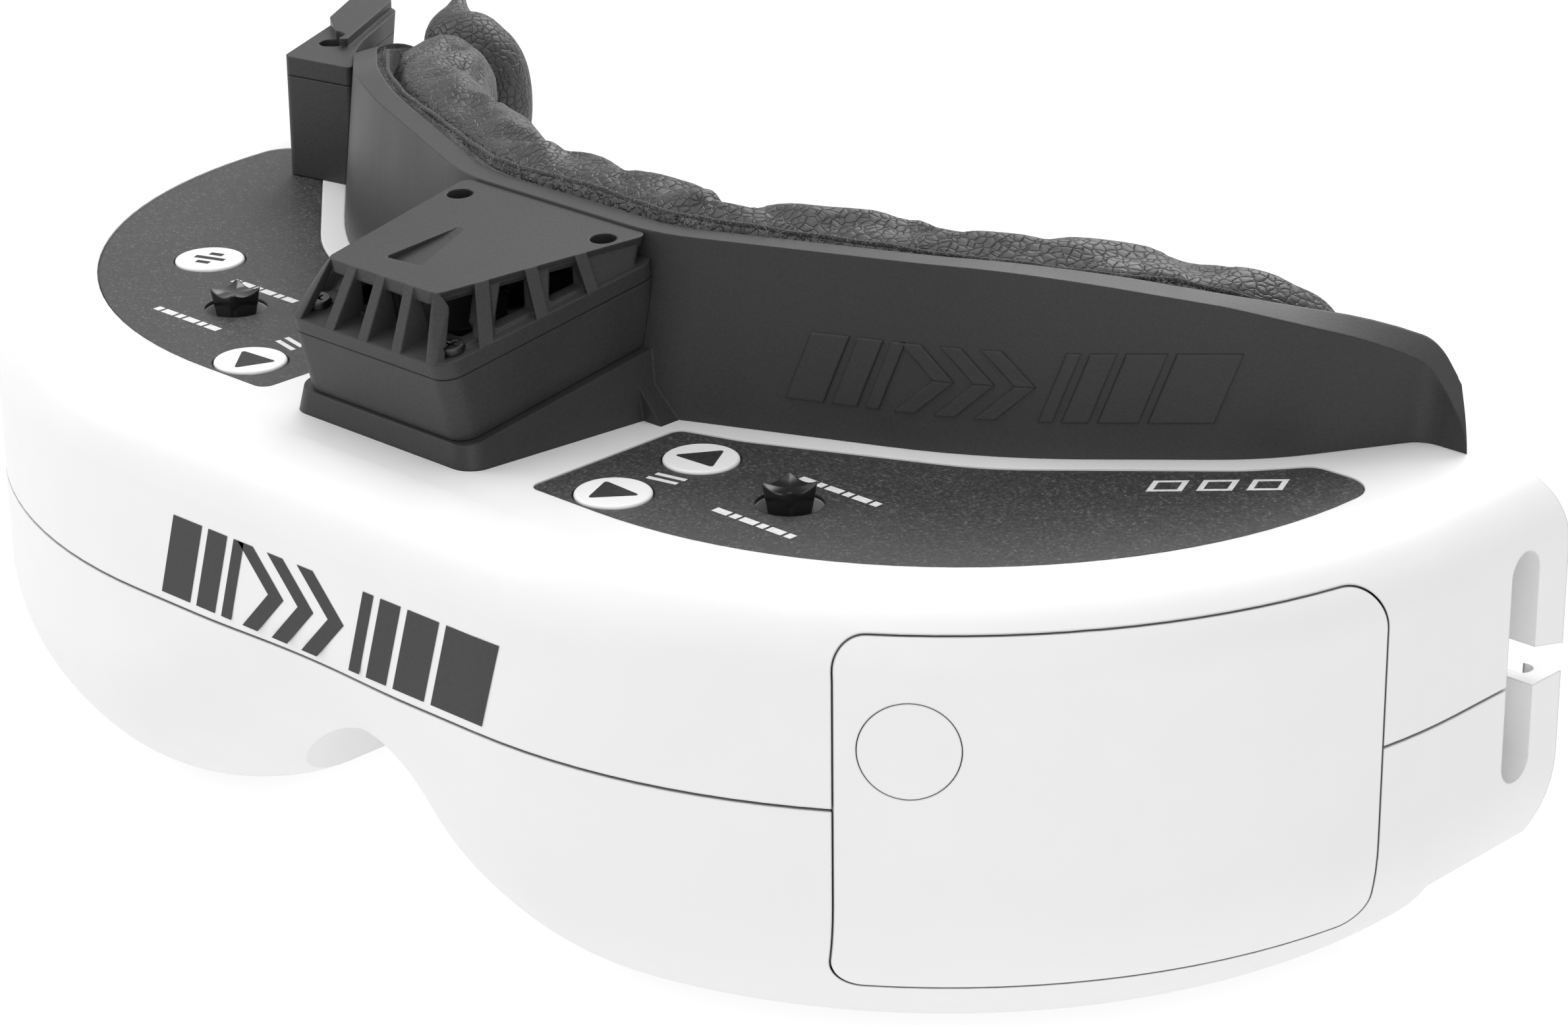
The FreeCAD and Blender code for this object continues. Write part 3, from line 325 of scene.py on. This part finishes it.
def lint():
    made = Shader("lint", roughness=0.8, specular=0.2)
    made.link(made.ramp(made.noise(3.0), [(0.35, 0.10), (0.65, 0.30)]), "Base Color")
    return made.material


def hook_edge():
    """The pad's bound felt edge, a little paler than the tape."""
    made = Shader("pad_binding", roughness=0.9, specular=0.15)
    fuzz = made.noise(0.18, 4.0, 0.7)
    made.link(made.ramp(fuzz, [(0.35, 0.012), (0.55, 0.05), (0.72, 0.30)]), "Base Color")
    made.set("Sheen Weight", 0.2)
    made.bump([(fuzz, 0.15)])
    return made.material


def metal(name, colour, roughness):
    made = Shader(name, metallic=1.0, specular=0.5)
    brushed = made.noise(0.5, 3.0, 0.6, made.stretched((0.1, 1.0, 1.0)))
    low = tuple(c * 0.8 for c in colour)
    made.link(made.ramp(brushed, [(0.3, low), (0.7, colour)]), "Base Color")
    made.rough(brushed, roughness - 0.08, roughness + 0.08)
    made.bump([(brushed, 0.004)])
    return made.material


def board():
    made = Shader("board_green", specular=0.5)
    tracks = made.node("ShaderNodeTexBrick", Vector=made.stretched((420.0, 420.0, 420.0)))
    made.link(made.ramp(tracks.outputs["Fac"], [(0.2, (0.01, 0.07, 0.03)), (0.8, (0.02, 0.14, 0.06))]),
              "Base Color")
    made.rough(made.noise(4.0), 0.25, 0.4)
    made.bump([(tracks.outputs["Fac"], 0.02)])
    return made.material


def glass():
    made = Shader("lens_glass", roughness=0.02, specular=0.5)
    tint = made.ramp(made.noise(30.0), [(0.3, (0.93, 0.96, 1.0)), (0.7, (0.97, 0.98, 1.0))])
    made.link(tint, "Base Color")
    made.set("Transmission Weight", 1.0)
    made.set("IOR", 1.5)
    made.set("Coat Weight", 0.3)
    return made.material


def display():
    made = Shader("display_glass", specular=0.6)
    rows = made.noise(0.2, 1.0, 0.5, made.stretched((0.2, 1.0, 1.0)))
    made.link(made.ramp(rows, [(0.3, (0.01, 0.01, 0.016)), (0.7, (0.02, 0.022, 0.035))]), "Base Color")
    made.rough(rows, 0.08, 0.16)
    return made.material


def printed(name, low, high):
    """Screen-printed ink, slightly uneven."""
    made = Shader(name, specular=0.35)
    ink = made.noise(0.5, 3.0)
    made.link(made.ramp(ink, [(0.3, low), (0.7, high)]), "Base Color")
    made.rough(ink, 0.5, 0.62)
    made.bump([(ink, 0.006)])
    return made.material


def paint_nodes():
    """One material for each of the record's slots, put on the CAD nodes that stay."""
    finishes = {
        "shell_white": white_plastic("shell_white"),
        "button_white": white_plastic("button_white", 0.84),
        "label_black": label_film(),
        "stick_black": grained_black("stick_black", 0.006, 0.012, 3.0, 0.004, 0.16, 0.26, 0.6),
        "stick_base_grey": grained_black("stick_base_grey", 0.10, 0.14, 0.6, 0.01, 0.5, 0.6),
        "pod_black": grained_black("pod_black", 0.024, 0.040, 0.28, 0.022, 0.40, 0.50, 0.32),
        "fan_black": grained_black("fan_black", 0.012, 0.02, 0.6, 0.01, 0.35, 0.5),
        "plate_black": grained_black("plate_black", 0.022, 0.034, 0.26, 0.018, 0.40, 0.50, 0.34),
        "optics_black": grained_black("optics_black", 0.015, 0.025, 0.4, 0.015, 0.45, 0.6),
        "tray_black": grained_black("tray_black", 0.02, 0.03, 0.5, 0.02, 0.45, 0.6),
        "header_black": grained_black("header_black", 0.015, 0.03, 0.5, 0.01, 0.4, 0.55),
        "jack_black": grained_black("jack_black", 0.01, 0.02, 0.6, 0.01, 0.3, 0.4),
        "hook_fabric": hook_cloth(),
        "lens_glass": glass(),
        "display_glass": display(),
        "board_green": board(),
        "screw_steel": metal("screw_steel", (0.10, 0.10, 0.10), 0.38),
        "rail_steel": metal("rail_steel", (0.62, 0.62, 0.62), 0.25),
        "socket_steel": metal("socket_steel", (0.55, 0.55, 0.56), 0.32),
        "switch_steel": metal("switch_steel", (0.5, 0.5, 0.5), 0.35),
    }
    for name, node in NODES.items():
        material = finishes.get(SLOTS[name])
        if material:
            node.data.materials.clear()
            node.data.materials.append(material)
    return finishes


# ---------------------------------------------------------------- outlines and meshes

def corner_arc(here, back, ahead, radius, steps):
    """The points that round one corner of a flat line."""
    half = back.angle(ahead) / 2
    centre = here + (back + ahead).normalized() * (radius / math.sin(half))
    start = here + back * (radius / math.tan(half)) - centre
    end = here + ahead * (radius / math.tan(half)) - centre
    sweep = math.copysign(math.pi - 2 * half, start.x * end.y - start.y * end.x)
    arc = []
    for k in range(steps + 1):
        angle = sweep * k / steps
        turned = (start.x * math.cos(angle) - start.y * math.sin(angle),
                  start.x * math.sin(angle) + start.y * math.cos(angle))
        arc.append(centre + Vector(turned))
    return arc


def rounded(points, radii, steps=6, closed=False):
    """A dense line through flat points, each corner rounded to its radius."""
    line = []
    count = len(points)
    for i in range(count):
        here = Vector(points[i])
        if radii[i] == 0 or (not closed and i in (0, count - 1)):
            line.append(here)
            continue
        back = (Vector(points[i - 1]) - here).normalized()
        ahead = (Vector(points[(i + 1) % count]) - here).normalized()
        line += corner_arc(here, back, ahead, radii[i], steps)
    return line


class FaceCurve:
    """The face curve seen from above, from the -X temple to the +X temple, measured from its middle."""

    def __init__(self):
        points = [(-x, y) for x, y in reversed(FACE[1:])] + FACE
        radii = list(reversed(FACE_RADII[1:])) + FACE_RADII
        self.line = rounded(points, radii, 10)
        self.marks = [0.0]
        for a, b in zip(self.line, self.line[1:]):
            self.marks.append(self.marks[-1] + (b - a).length)
        self.half = self.marks[-1] / 2

    def at(self, distance):
        place = min(max(distance + self.half, 0.0), 2 * self.half)
        for i in range(len(self.line) - 1):
            if place <= self.marks[i + 1]:
                run = self.marks[i + 1] - self.marks[i]
                return self.line[i].lerp(self.line[i + 1], (place - self.marks[i]) / run if run else 0.0)
        return self.line[-1]

    def inward(self, distance):
        """The flat direction from the curve towards the wearer."""
        reach = 2.0
        along = self.at(min(distance + reach, self.half)) - self.at(max(distance - reach, -self.half))
        return Vector((-along.y, along.x)).normalized()

    def point(self, distance, depth, height):
        """A point in metres: along the curve, behind it, and above the floor."""
        flat = self.at(distance) + self.inward(distance) * depth
        lean = FACE_LEAN * max(0.0, height - DECK_MM) / (TOP_MM - DECK_MM)
        return Vector((flat.x, flat.y + lean, height)) * MM


def new_piece(name, verts, faces, material, body, smooth=True):
    mesh = bpy.data.meshes.new(name)
    mesh.from_pydata([tuple(v) for v in verts], [], faces)
    mesh.validate()
    mesh.update()
    if smooth:
        mesh.polygons.foreach_set("use_smooth", [True] * len(mesh.polygons))
    piece = bpy.data.objects.new(name, mesh)
    bpy.context.scene.collection.objects.link(piece)
    piece.data.materials.append(material)
    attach(piece, body)
    return piece


# ---------------------------------------------------------------- face pad

# Stations along the pad's right half, from beside the nose round the temple to the middle of the brow:
# outer edge and inner edge as (distance along the face curve, height), then the thickness of the foam
PAD_STATIONS = [
    ((14.6, 22.0), (17.4, 22.8), 4.5),
    ((16.4, 14.0), (21.5, 17.0), 7.0),
    ((15.2, 7.0), (24.5, 13.4), 8.5),
    ((21.5, 2.9), (29.0, 12.2), 9.0),
    ((34.0, 2.5), (37.0, 12.3), 9.5),
    ((52.0, 2.5), (50.0, 12.3), 10.0),
    ((70.0, 2.8), (60.0, 13.2), 11.0),
    ((81.5, 6.8), (66.5, 17.5), 12.5),
    ((87.0, 16.0), (69.5, 24.5), 14.0),
    ((88.2, 30.0), (70.3, 33.0), 15.0),
    ((88.0, 44.0), (69.0, 41.0), 15.0),
    ((86.8, 53.4), (64.5, 47.3), 14.0),
    ((80.0, 59.4), (56.0, 50.0), 13.0),
    ((66.0, 62.8), (48.0, 51.6), 13.0),
    ((48.0, 64.4), (36.0, 52.2), 13.0),
    ((24.0, 65.2), (18.0, 52.2), 11.0),
    ((0.0, 65.8), (0.0, 52.2), 10.5),
]
TEMPLE_START = 58.0
TEMPLE_END = 84.0
TEMPLE_SWING = 0.75
PAD_AROUND = 26
PAD_SPACING = 2.0
PAD_SAMPLES = 420
PAD_END = 5.0

# How the foam's slice is drawn: how square its sides and crown are, and how far it hangs over each edge
SIDE_POWER = 0.72
CROWN_POWER = 0.62
OVERHANG = 0.16
OUTER_OVERHANG = 1.15
INNER_OVERHANG = 0.5

# The cloth that swells the foam: pressure, growth, frames, and the furthest a point may move in millimetres
PAD_PRESSURE = 3.0
PAD_GROWTH = -0.10
PAD_FRAMES = 20
PAD_PUFF = 1.35


def spline(points, t):
    """A smooth curve through a list of number tuples, t running from 0 to 1."""
    last = len(points) - 1
    i = min(int(t * last), last - 1)
    u = t * last - i
    p0, p1, p2, p3 = (points[min(max(i + k, 0), last)] for k in (-1, 0, 1, 2))
    return tuple(0.5 * (2 * b + (c - a) * u + (2 * a - 5 * b + 4 * c - d) * u * u
                        + (3 * b - a - 3 * c + d) * u ** 3) for a, b, c, d in zip(p0, p1, p2, p3))


def pad_line():
    """Every station of the whole pad, one nose end to the other, as flat number tuples."""
    right = [(*outer, *inner, thick) for outer, inner, thick in PAD_STATIONS]
    left = [(-a, b, -c, d, e) for a, b, c, d, e in right]
    return right + list(reversed(left[:-1]))


def pad_direction(curve, distance):
    """Which way the foam stands off the plate: square to it, but more to the rear at the -X temple."""
    square = curve.inward(distance)
    swing = min(max((-distance - TEMPLE_START) / (TEMPLE_END - TEMPLE_START), 0.0), 1.0) * TEMPLE_SWING
    flat = square.lerp(Vector((0.0, 1.0)), swing).normalized()
    return Vector((flat.x, flat.y, 0.0))


def pad_section(station, curve, swell, shrink):
    """One slice across the pad, from its outer edge over the crown to its inner edge."""
    outer = Vector(station[0:2])
    inner = Vector(station[2:4])
    thick = station[4] * swell
    middle = (outer + inner) / 2
    half = (outer - inner) / 2 * shrink
    points = []
    for k in range(PAD_AROUND + 1):
        turn = math.pi * k / PAD_AROUND
        sine = max(0.0, math.sin(turn))
        across = math.copysign(abs(math.cos(turn)) ** SIDE_POWER, math.cos(turn))
        rise = sine ** CROWN_POWER
        spread = 1 + OVERHANG * sine ** 0.5 * (OUTER_OVERHANG if across > 0 else INNER_OVERHANG)
        flat = middle + half * across * spread
        place = curve.point(flat.x, HOOK_BACK, flat.y)
        points.append(place + pad_direction(curve, flat.x) * thick * rise * MM)
    return points


def pad_shell(curve, swell, shrink):
    """The pad's skin as rows of points, closed at both nose ends."""
    line = pad_line()
    samples = [spline(line, i / PAD_SAMPLES) for i in range(PAD_SAMPLES + 1)]
    marks = [0.0]
    for a, b in zip(samples, samples[1:]):
        here = (Vector(a[0:2]) + Vector(a[2:4])) / 2
        there = (Vector(b[0:2]) + Vector(b[2:4])) / 2
        marks.append(marks[-1] + (there - here).length)
    count = int(marks[-1] / PAD_SPACING)
    rows = []
    index = 0
    for i in range(count + 1):
        goal = marks[-1] * i / count
        while index < PAD_SAMPLES - 1 and marks[index + 1] < goal:
            index += 1
        part = (goal - marks[index]) / (marks[index + 1] - marks[index])
        station = tuple(p + (q - p) * part for p, q in zip(samples[index], samples[index + 1]))
        end = min(goal, marks[-1] - goal) / PAD_END
        taper = math.sqrt(max(0.03, 1 - (1 - min(end, 1.0)) ** 2))
        rows.append(pad_section(station, curve, swell * taper, shrink * (0.55 + 0.45 * taper)))
    return rows


def grid_mesh(rows):
    """A closed skin over rows of points: a flat back joins each row's ends, and both ends are capped."""
    verts = [p for row in rows for p in row]
    wide = len(rows[0])
    faces = []
    for i in range(len(rows) - 1):
        for k in range(wide):
            a = i * wide + k
            b = i * wide + (k + 1) % wide
            faces.append((a, b, b + wide, a + wide))
    faces.append(tuple(reversed(range(wide))))
    last = (len(rows) - 1) * wide
    faces.append(tuple(range(last, last + wide)))
    return verts, faces


def inflate(piece, rest):
    """Swell the pad with cloth under pressure, its back edge held, and cap how far each point moves."""
    held = piece.vertex_groups.new(name="held")
    wide = PAD_AROUND + 1
    for index in range(len(rest)):
        k = index % wide
        if k in (0, 1, wide - 2, wide - 1):
            held.add([index], 1.0, "REPLACE")
    bpy.context.view_layer.objects.active = piece
    cloth = piece.modifiers.new("cloth", "CLOTH")
    settings = cloth.settings
    settings.quality = 6
    settings.mass = 0.3
    settings.tension_stiffness = 12
    settings.compression_stiffness = 12
    settings.shear_stiffness = 6
    settings.bending_stiffness = 0.15
    settings.use_pressure = True
    settings.uniform_pressure_force = PAD_PRESSURE
    settings.shrink_min = PAD_GROWTH
    settings.vertex_group_mass = "held"
    settings.pin_stiffness = 1.0
    settings.effector_weights.gravity = 0
    cloth.collision_settings.use_collision = False
    cloth.point_cache.frame_start = 1
    cloth.point_cache.frame_end = PAD_FRAMES
    for step in range(1, PAD_FRAMES + 1):
        bpy.context.scene.frame_set(step)
    shaped = piece.evaluated_get(bpy.context.evaluated_depsgraph_get()).to_mesh()
    moved = [v.co.copy() for v in shaped.vertices]
    piece.evaluated_get(bpy.context.evaluated_depsgraph_get()).to_mesh_clear()
    piece.modifiers.remove(cloth)
    bpy.context.scene.frame_set(1)
    for vertex, place, start in zip(piece.data.vertices, moved, rest):
        step = place - start
        if step.length > PAD_PUFF * MM:
            step *= PAD_PUFF * MM / step.length
        vertex.co = start + step


# Depths of the leather's soft gathers, sharper creases and shallow dents, and where a crease begins
GATHER_DEPTH = 0.35
CREASE_DEPTH = 0.55
CREASE_START = 0.93
DENT_DEPTH = 0.40


def crumple(piece):
    """Soft gathers across the pad, a few creases and shallow dents."""
    mesh = piece.data
    mesh.update()
    normals = [v.normal.copy() for v in mesh.vertices]
    for vertex, normal in zip(mesh.vertices, normals):
        place = vertex.co / MM
        along = place.x + 0.35 * place.y
        gather = noise.noise(Vector((along * 0.16, place.z * 0.04, 3.0)))
        fold = 1 - abs(noise.noise(Vector((along * 0.075 + 7.0, place.z * 0.03, place.y * 0.03))))
        dent = noise.noise(place * 0.07 + Vector((0, 0, 11)))
        crease = max(0.0, fold - CREASE_START) / 0.07
        height = GATHER_DEPTH * gather - CREASE_DEPTH * crease ** 1.5 + DENT_DEPTH * dent
        vertex.co = (place + normal * height) * MM
    mesh.update()


def tube_along(points, radii, sides=6, across=(0, 0, 1)):
    """A closed tube around a line of points, none of whose runs lies along the given direction."""
    verts = []
    for i, (here, radius) in enumerate(zip(points, radii)):
        along = (points[min(i + 1, len(points) - 1)] - points[max(i - 1, 0)]).normalized()
        side = along.cross(Vector(across)).normalized()
        over = side.cross(along).normalized()
        for k in range(sides):
            turn = 2 * math.pi * k / sides
            verts.append(here + (side * math.cos(turn) + over * math.sin(turn)) * radius * MM)
    faces = []
    for i in range(len(points) - 1):
        for k in range(sides):
            a = i * sides + k
            b = i * sides + (k + 1) % sides
            faces.append((a, b, b + sides, a + sides))
    faces.append(tuple(reversed(range(sides))))
    faces.append(tuple(range(len(verts) - sides, len(verts))))
    return verts, faces


# The loose fold of leather behind the -X temple, from its tip down: x, y, z and radius in millimetres
TEMPLE_FOLD = [
    (-72.5, 44.2, 61.3, 0.5),
    (-71.4, 42.6, 60.0, 1.6),
    (-69.6, 40.6, 58.2, 3.8),
    (-67.2, 39.8, 56.6, 5.2),
    (-65.8, 40.2, 54.2, 5.8),
    (-65.6, 40.8, 51.0, 5.7),
    (-65.8, 41.2, 47.5, 5.2),
    (-66.3, 40.4, 43.0, 4.8),
    (-66.5, 39.0, 38.0, 4.5),
    (-67.0, 36.5, 34.0, 2.0),
]


def make_fold(leather_skin):
    rows = 60
    stations = [spline(TEMPLE_FOLD, i / rows) for i in range(rows + 1)]
    points = [Vector(station[0:3]) * MM for station in stations]
    verts, faces = tube_along(points, [station[3] for station in stations], 32, (0, 1, 0))
    fold = new_piece("temple_fold", verts, faces, leather_skin, "casing")
    crumple(fold)


def make_pad(curve):
    leather_skin = leather()
    rows = pad_shell(curve, 0.93, 0.97)
    verts, faces = grid_mesh(rows)
    pad = new_piece("face_cushion", verts, faces, leather_skin, "casing")
    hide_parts("face_pad")
    rest = [v.co.copy() for v in pad.data.vertices]
    inflate(pad, rest)
    smooth = pad.modifiers.new("smooth", "SUBSURF")
    smooth.levels = 1
    smooth.render_levels = 1
    bpy.context.view_layer.update()
    fine = bpy.data.meshes.new_from_object(pad.evaluated_get(bpy.context.evaluated_depsgraph_get()))
    pad.modifiers.clear()
    pad.data = fine
    crumple(pad)
    fine.polygons.foreach_set("use_smooth", [True] * len(fine.polygons))
    make_fold(leather_skin)


# ---------------------------------------------------------------- fuzzy edge of the hook tape

def hood_height(distance):
    """Height of the pad's outer edge over the brow, at a distance along the face curve."""
    brow = [(outer[0], outer[1]) for outer, inner, thick in PAD_STATIONS[-6:]]
    brow.reverse()
    reach = abs(distance)
    for (s0, z0), (s1, z1) in zip(brow, brow[1:]):
        if reach <= s1:
            return z0 + (z1 - z0) * (reach - s0) / (s1 - s0)
    return brow[-1][1]


FRINGE_REACH = 86.0
FRINGE_STEPS = 172
BINDING_RADIUS = 0.26
FIBRES = 5200
FIBRE_HALF_WIDTH = 0.022


def make_fringe(curve):
    """The pad's bound edge and the fibres that stand out of the tape beside it."""
    rng = random.Random(5)
    line = []
    for i in range(FRINGE_STEPS + 1):
        s = -FRINGE_REACH + 2 * FRINGE_REACH * i / FRINGE_STEPS
        wander = 0.05 * math.sin(s * 0.9) + 0.05 * math.sin(s * 0.37 + 1)
        line.append(curve.point(s, HOOK_BACK - 0.2, hood_height(s) + 0.40 + wander))
    verts, faces = tube_along(line, [BINDING_RADIUS] * len(line))
    new_piece("pad_binding", verts, faces, hook_edge(), "casing")
    verts = []
    faces = []
    for i in range(FIBRES):
        s = rng.uniform(-FRINGE_REACH, FRINGE_REACH)
        depth = rng.choice((rng.uniform(2.9, 3.5), rng.uniform(3.4, 4.2)))
        root = curve.point(s, depth, hood_height(s) + rng.uniform(-0.5, 0.45))
        length = rng.uniform(0.25, 0.6) if rng.random() < 0.93 else rng.uniform(0.8, 1.6)
        lift = Vector((rng.uniform(-1, 1), rng.uniform(-1.2, 0.6), rng.uniform(0.1, 1.0))).normalized()
        bend = Vector((rng.uniform(-1, 1), rng.uniform(-1, 1), rng.uniform(-0.6, 0.6))) * 0.4
        aside = Vector((rng.uniform(-1, 1), rng.uniform(-1, 1), 0.3))
        side = lift.cross(aside).normalized() * FIBRE_HALF_WIDTH * MM
        first = len(verts)
        for k in range(4):
            part = k / 3
            middle = root + (lift * part + bend * part * part) * length * MM
            width = side * (1 - 0.6 * part)
            verts += [middle - width, middle + width]
        for k in range(3):
            a = first + 2 * k
            faces.append((a, a + 1, a + 3, a + 2))
    new_piece("tape_fibres", verts, faces, lint(), "casing")


# ---------------------------------------------------------------- printed and raised marks

def flat_marks(name, shapes, height, material, body):
    """Thin printed shapes lying on a level surface, given in millimetres from above."""
    verts = []
    faces = []
    for shape in shapes:
        first = len(verts)
        verts += [Vector((x * MM, y * MM, height)) for x, y in shape]
        faces.append(tuple(range(first, first + len(shape))))
    return new_piece(name, verts, faces, material, body, smooth=False)


def turned(shape, spot, degrees):
    """A flat shape moved to a spot and turned."""
    c = math.cos(math.radians(degrees))
    s = math.sin(math.radians(degrees))
    return [(spot[0] + x * c - y * s, spot[1] + x * s + y * c) for x, y in shape]


def bar(length, width, lean=0.0):
    half = length / 2
    tall = width / 2
    return [(-half - lean, -tall), (half - lean, -tall), (half + lean, tall), (-half + lean, tall)]


def arrow_mark(height=4.5, width=4.5, round_steps=3):
    """A solid triangle with slightly rounded corners, pointing along +X."""
    points = [(height * 0.62, 0), (-height * 0.38, width / 2), (-height * 0.38, -width / 2)]
    return [tuple(p) for p in rounded(points, [0.25] * 3, round_steps, True)]


# How far printed ink stands over its surface, in millimetres, and which way the buttons' arrows point
INK = 0.02
FRONT_ARROW = 23.0
BACK_ARROW = 209.4
BUTTON_MARKS = {
    "channel_up_button": BACK_ARROW,
    "channel_down_button": FRONT_ARROW,
    "volume_up_button": 180 - BACK_ARROW,
    "volume_down_button": 180 - FRONT_ARROW,
}


def button_mark(name, degrees, ink):
    low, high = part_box(name)
    spot = ((low.x + high.x) / 2 / MM, (low.y + high.y) / 2 / MM)
    shape = turned(arrow_mark(), spot, degrees)
    flat_marks(name + "_mark", [shape], high.z + INK * MM, ink, name)


# Printed dashes on both labels: lengths, width, spacing, and each row's first place on the +X side
DASHES = (1.9, 0.9, 1.9, 0.9, 1.9, 0.9)
DASH_WIDTH = 1.0
DASH_STEP = 1.75
DASH_ROWS = [(37.0, -23.9), (37.6, -12.9)]
PAIR_BAR = (3.4, 0.6)
PAIR_PLACES = [(27.4, -22.2), (27.4, -21.0)]
PAIR_TURN = 12

# Three hollow slanted boxes near the end of the +X label
GRADE_PLACES = [(63.6, 9.0), (67.0, 12.3), (70.4, 15.6)]
GRADE_BOX = (3.4, 2.7, 0.5)
GRADE_TURN = 43.7
GRADE_HOLLOW = 0.66


def make_marks():
    dark = printed("mark_black", 0.018, 0.03)
    pale = printed("mark_white", 0.62, 0.74)
    for name, degrees in BUTTON_MARKS.items():
        button_mark(name, degrees, dark)
    low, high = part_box("head_tracker_button")
    spot = ((low.x + high.x) / 2 / MM, (low.y + high.y) / 2 / MM)
    long_bar = bar(3.6, 0.75)
    short_bar = bar(1.6, 0.75)
    turn = 20
    strokes = [turned(long_bar, spot, turn), turned(short_bar, (spot[0] - 0.4, spot[1] + 1.3), turn),
               turned(short_bar, (spot[0] + 0.4, spot[1] - 1.3), turn)]
    flat_marks("head_tracker_mark", strokes, high.z + INK * MM, dark, "head_tracker_button")
    height = LABEL_TOP + INK * MM
    for side, name in ((1, "left_label"), (-1, "right_label")):
        shapes = []
        for k, length in enumerate(DASHES):
            for x, y in DASH_ROWS:
                shapes.append(turned(bar(length, DASH_WIDTH), (side * (x + DASH_STEP * k), y), 0))
        for x, y in PAIR_PLACES:
            shapes.append(turned(bar(*PAIR_BAR), (side * x, y), side * PAIR_TURN))
        flat_marks(name + "_marks", shapes, height, pale, "casing")
    hollow = []
    for spot in GRADE_PLACES:
        shape = turned(bar(*GRADE_BOX), spot, GRADE_TURN)
        centre = Vector((sum(p[0] for p in shape) / 4, sum(p[1] for p in shape) / 4))
        inner = [tuple(centre + (Vector(p) - centre) * GRADE_HOLLOW) for p in shape]
        for k in range(4):
            hollow.append([shape[k], shape[(k + 1) % 4], inner[(k + 1) % 4], inner[k]])
    flat_marks("grade_mark", hollow, height, pale, "casing")


# A band of slanted bars and arrowheads (left, right, kind), on the front and on the face plate
BAND = [(0.0, 4.6, "bar"), (5.6, 8.6, "bar"), (9.6, 11.2, "bar"), (13.0, 18.4, "head"),
        (17.6, 23.0, "head"), (22.2, 27.6, "head"), (29.4, 31.0, "bar"), (32.0, 35.0, "bar"),
        (36.0, 40.6, "bar"), (41.6, 49.0, "bar")]
BAND_LEAN = 0.3
BAND_STROKE = 2.4

# Each band's left and lower edge, width and height, and how far it stands out
FRONT_BAND = (-21.0, 28.6, 47.0, 9.0)
FRONT_PROUD = 0.05
WING_BAND = (28.6, 50.6, 42.0, 6.8)
WING_PROUD = 0.28


def band_shapes(width, height):
    """The band's shapes scaled to a width and height, as lists of flat quads."""
    stretch = width / BAND[-1][1]
    lean = height * BAND_LEAN
    stroke = BAND_STROKE * stretch
    middle = height / 2
    shapes = []
    for left, right, kind in BAND:
        a = left * stretch
        b = right * stretch
        if kind == "bar":
            shapes.append([(a, 0), (b, 0), (b + lean, height), (a + lean, height)])
        else:
            tip = b + lean / 2
            shapes.append([(a, 0), (a + stroke, 0), (tip, middle), (tip - stroke, middle)])
            shapes.append([(tip - stroke, middle), (tip, middle), (a + stroke, height), (a, height)])
    return shapes


def front_point(x, z, out):
    """A point on the front of the upper shell, which turns back beyond its flat middle."""
    corner = 25.0
    radius = 65.0
    past = max(0.0, abs(x) - corner)
    return Vector((x * MM, FRONT + (radius - math.sqrt(radius ** 2 - past ** 2) - out) * MM, z * MM))


def make_front_band():
    ink = printed("band_grey", 0.030, 0.045)
    verts = []
    faces = []
    steps = 6
    left, base, width, height = FRONT_BAND
    for shape in band_shapes(width, height):
        first = len(verts)
        corners = [Vector(corner) for corner in shape]
        for j in range(steps + 1):
            low = corners[0].lerp(corners[3], j / steps)
            high = corners[1].lerp(corners[2], j / steps)
            for k in range(steps + 1):
                flat = low.lerp(high, k / steps)
                verts.append(front_point(left + flat.x, base + flat.y, FRONT_PROUD))
        for j in range(steps):
            for k in range(steps):
                a = first + j * (steps + 1) + k
                faces.append((a, a + 1, a + steps + 2, a + steps + 1))
    new_piece("front_band", verts, faces, ink, "casing", smooth=False)


def make_wing_band(curve, material):
    """The same band raised on the face plate's +X wing."""
    verts = []
    faces = []
    steps = 5
    left, base, width, height = WING_BAND
    for shape in band_shapes(width, height):
        rings = []
        for inset, depth in ((0.0, 0.06), (0.0, -WING_PROUD + 0.1), (0.12, -WING_PROUD)):
            centre = Vector((sum(p[0] for p in shape) / 4, sum(p[1] for p in shape) / 4))
            ring = []
            for k in range(4):
                a = Vector(shape[k])
                b = Vector(shape[(k + 1) % 4])
                for j in range(steps):
                    flat = a.lerp(b, j / steps)
                    flat += (centre - flat).normalized() * inset
                    ring.append(curve.point(left + flat.x, depth, base + flat.y))
            rings.append(ring)
        first = len(verts)
        count = len(rings[0])
        for ring in rings:
            verts += ring
        for level in range(2):
            for k in range(count):
                a = first + level * count + k
                b = first + level * count + (k + 1) % count
                faces.append((a, b, b + count, a + count))
        faces.append(tuple(range(first + 2 * count, first + 3 * count)))
    new_piece("wing_band", verts, faces, material, "casing", smooth=False)


make_camera()
make_studio()
finishes = paint_nodes()
face_curve = FaceCurve()
make_pad(face_curve)
make_fringe(face_curve)
make_marks()
make_front_band()
make_wing_band(face_curve, finishes["plate_black"])
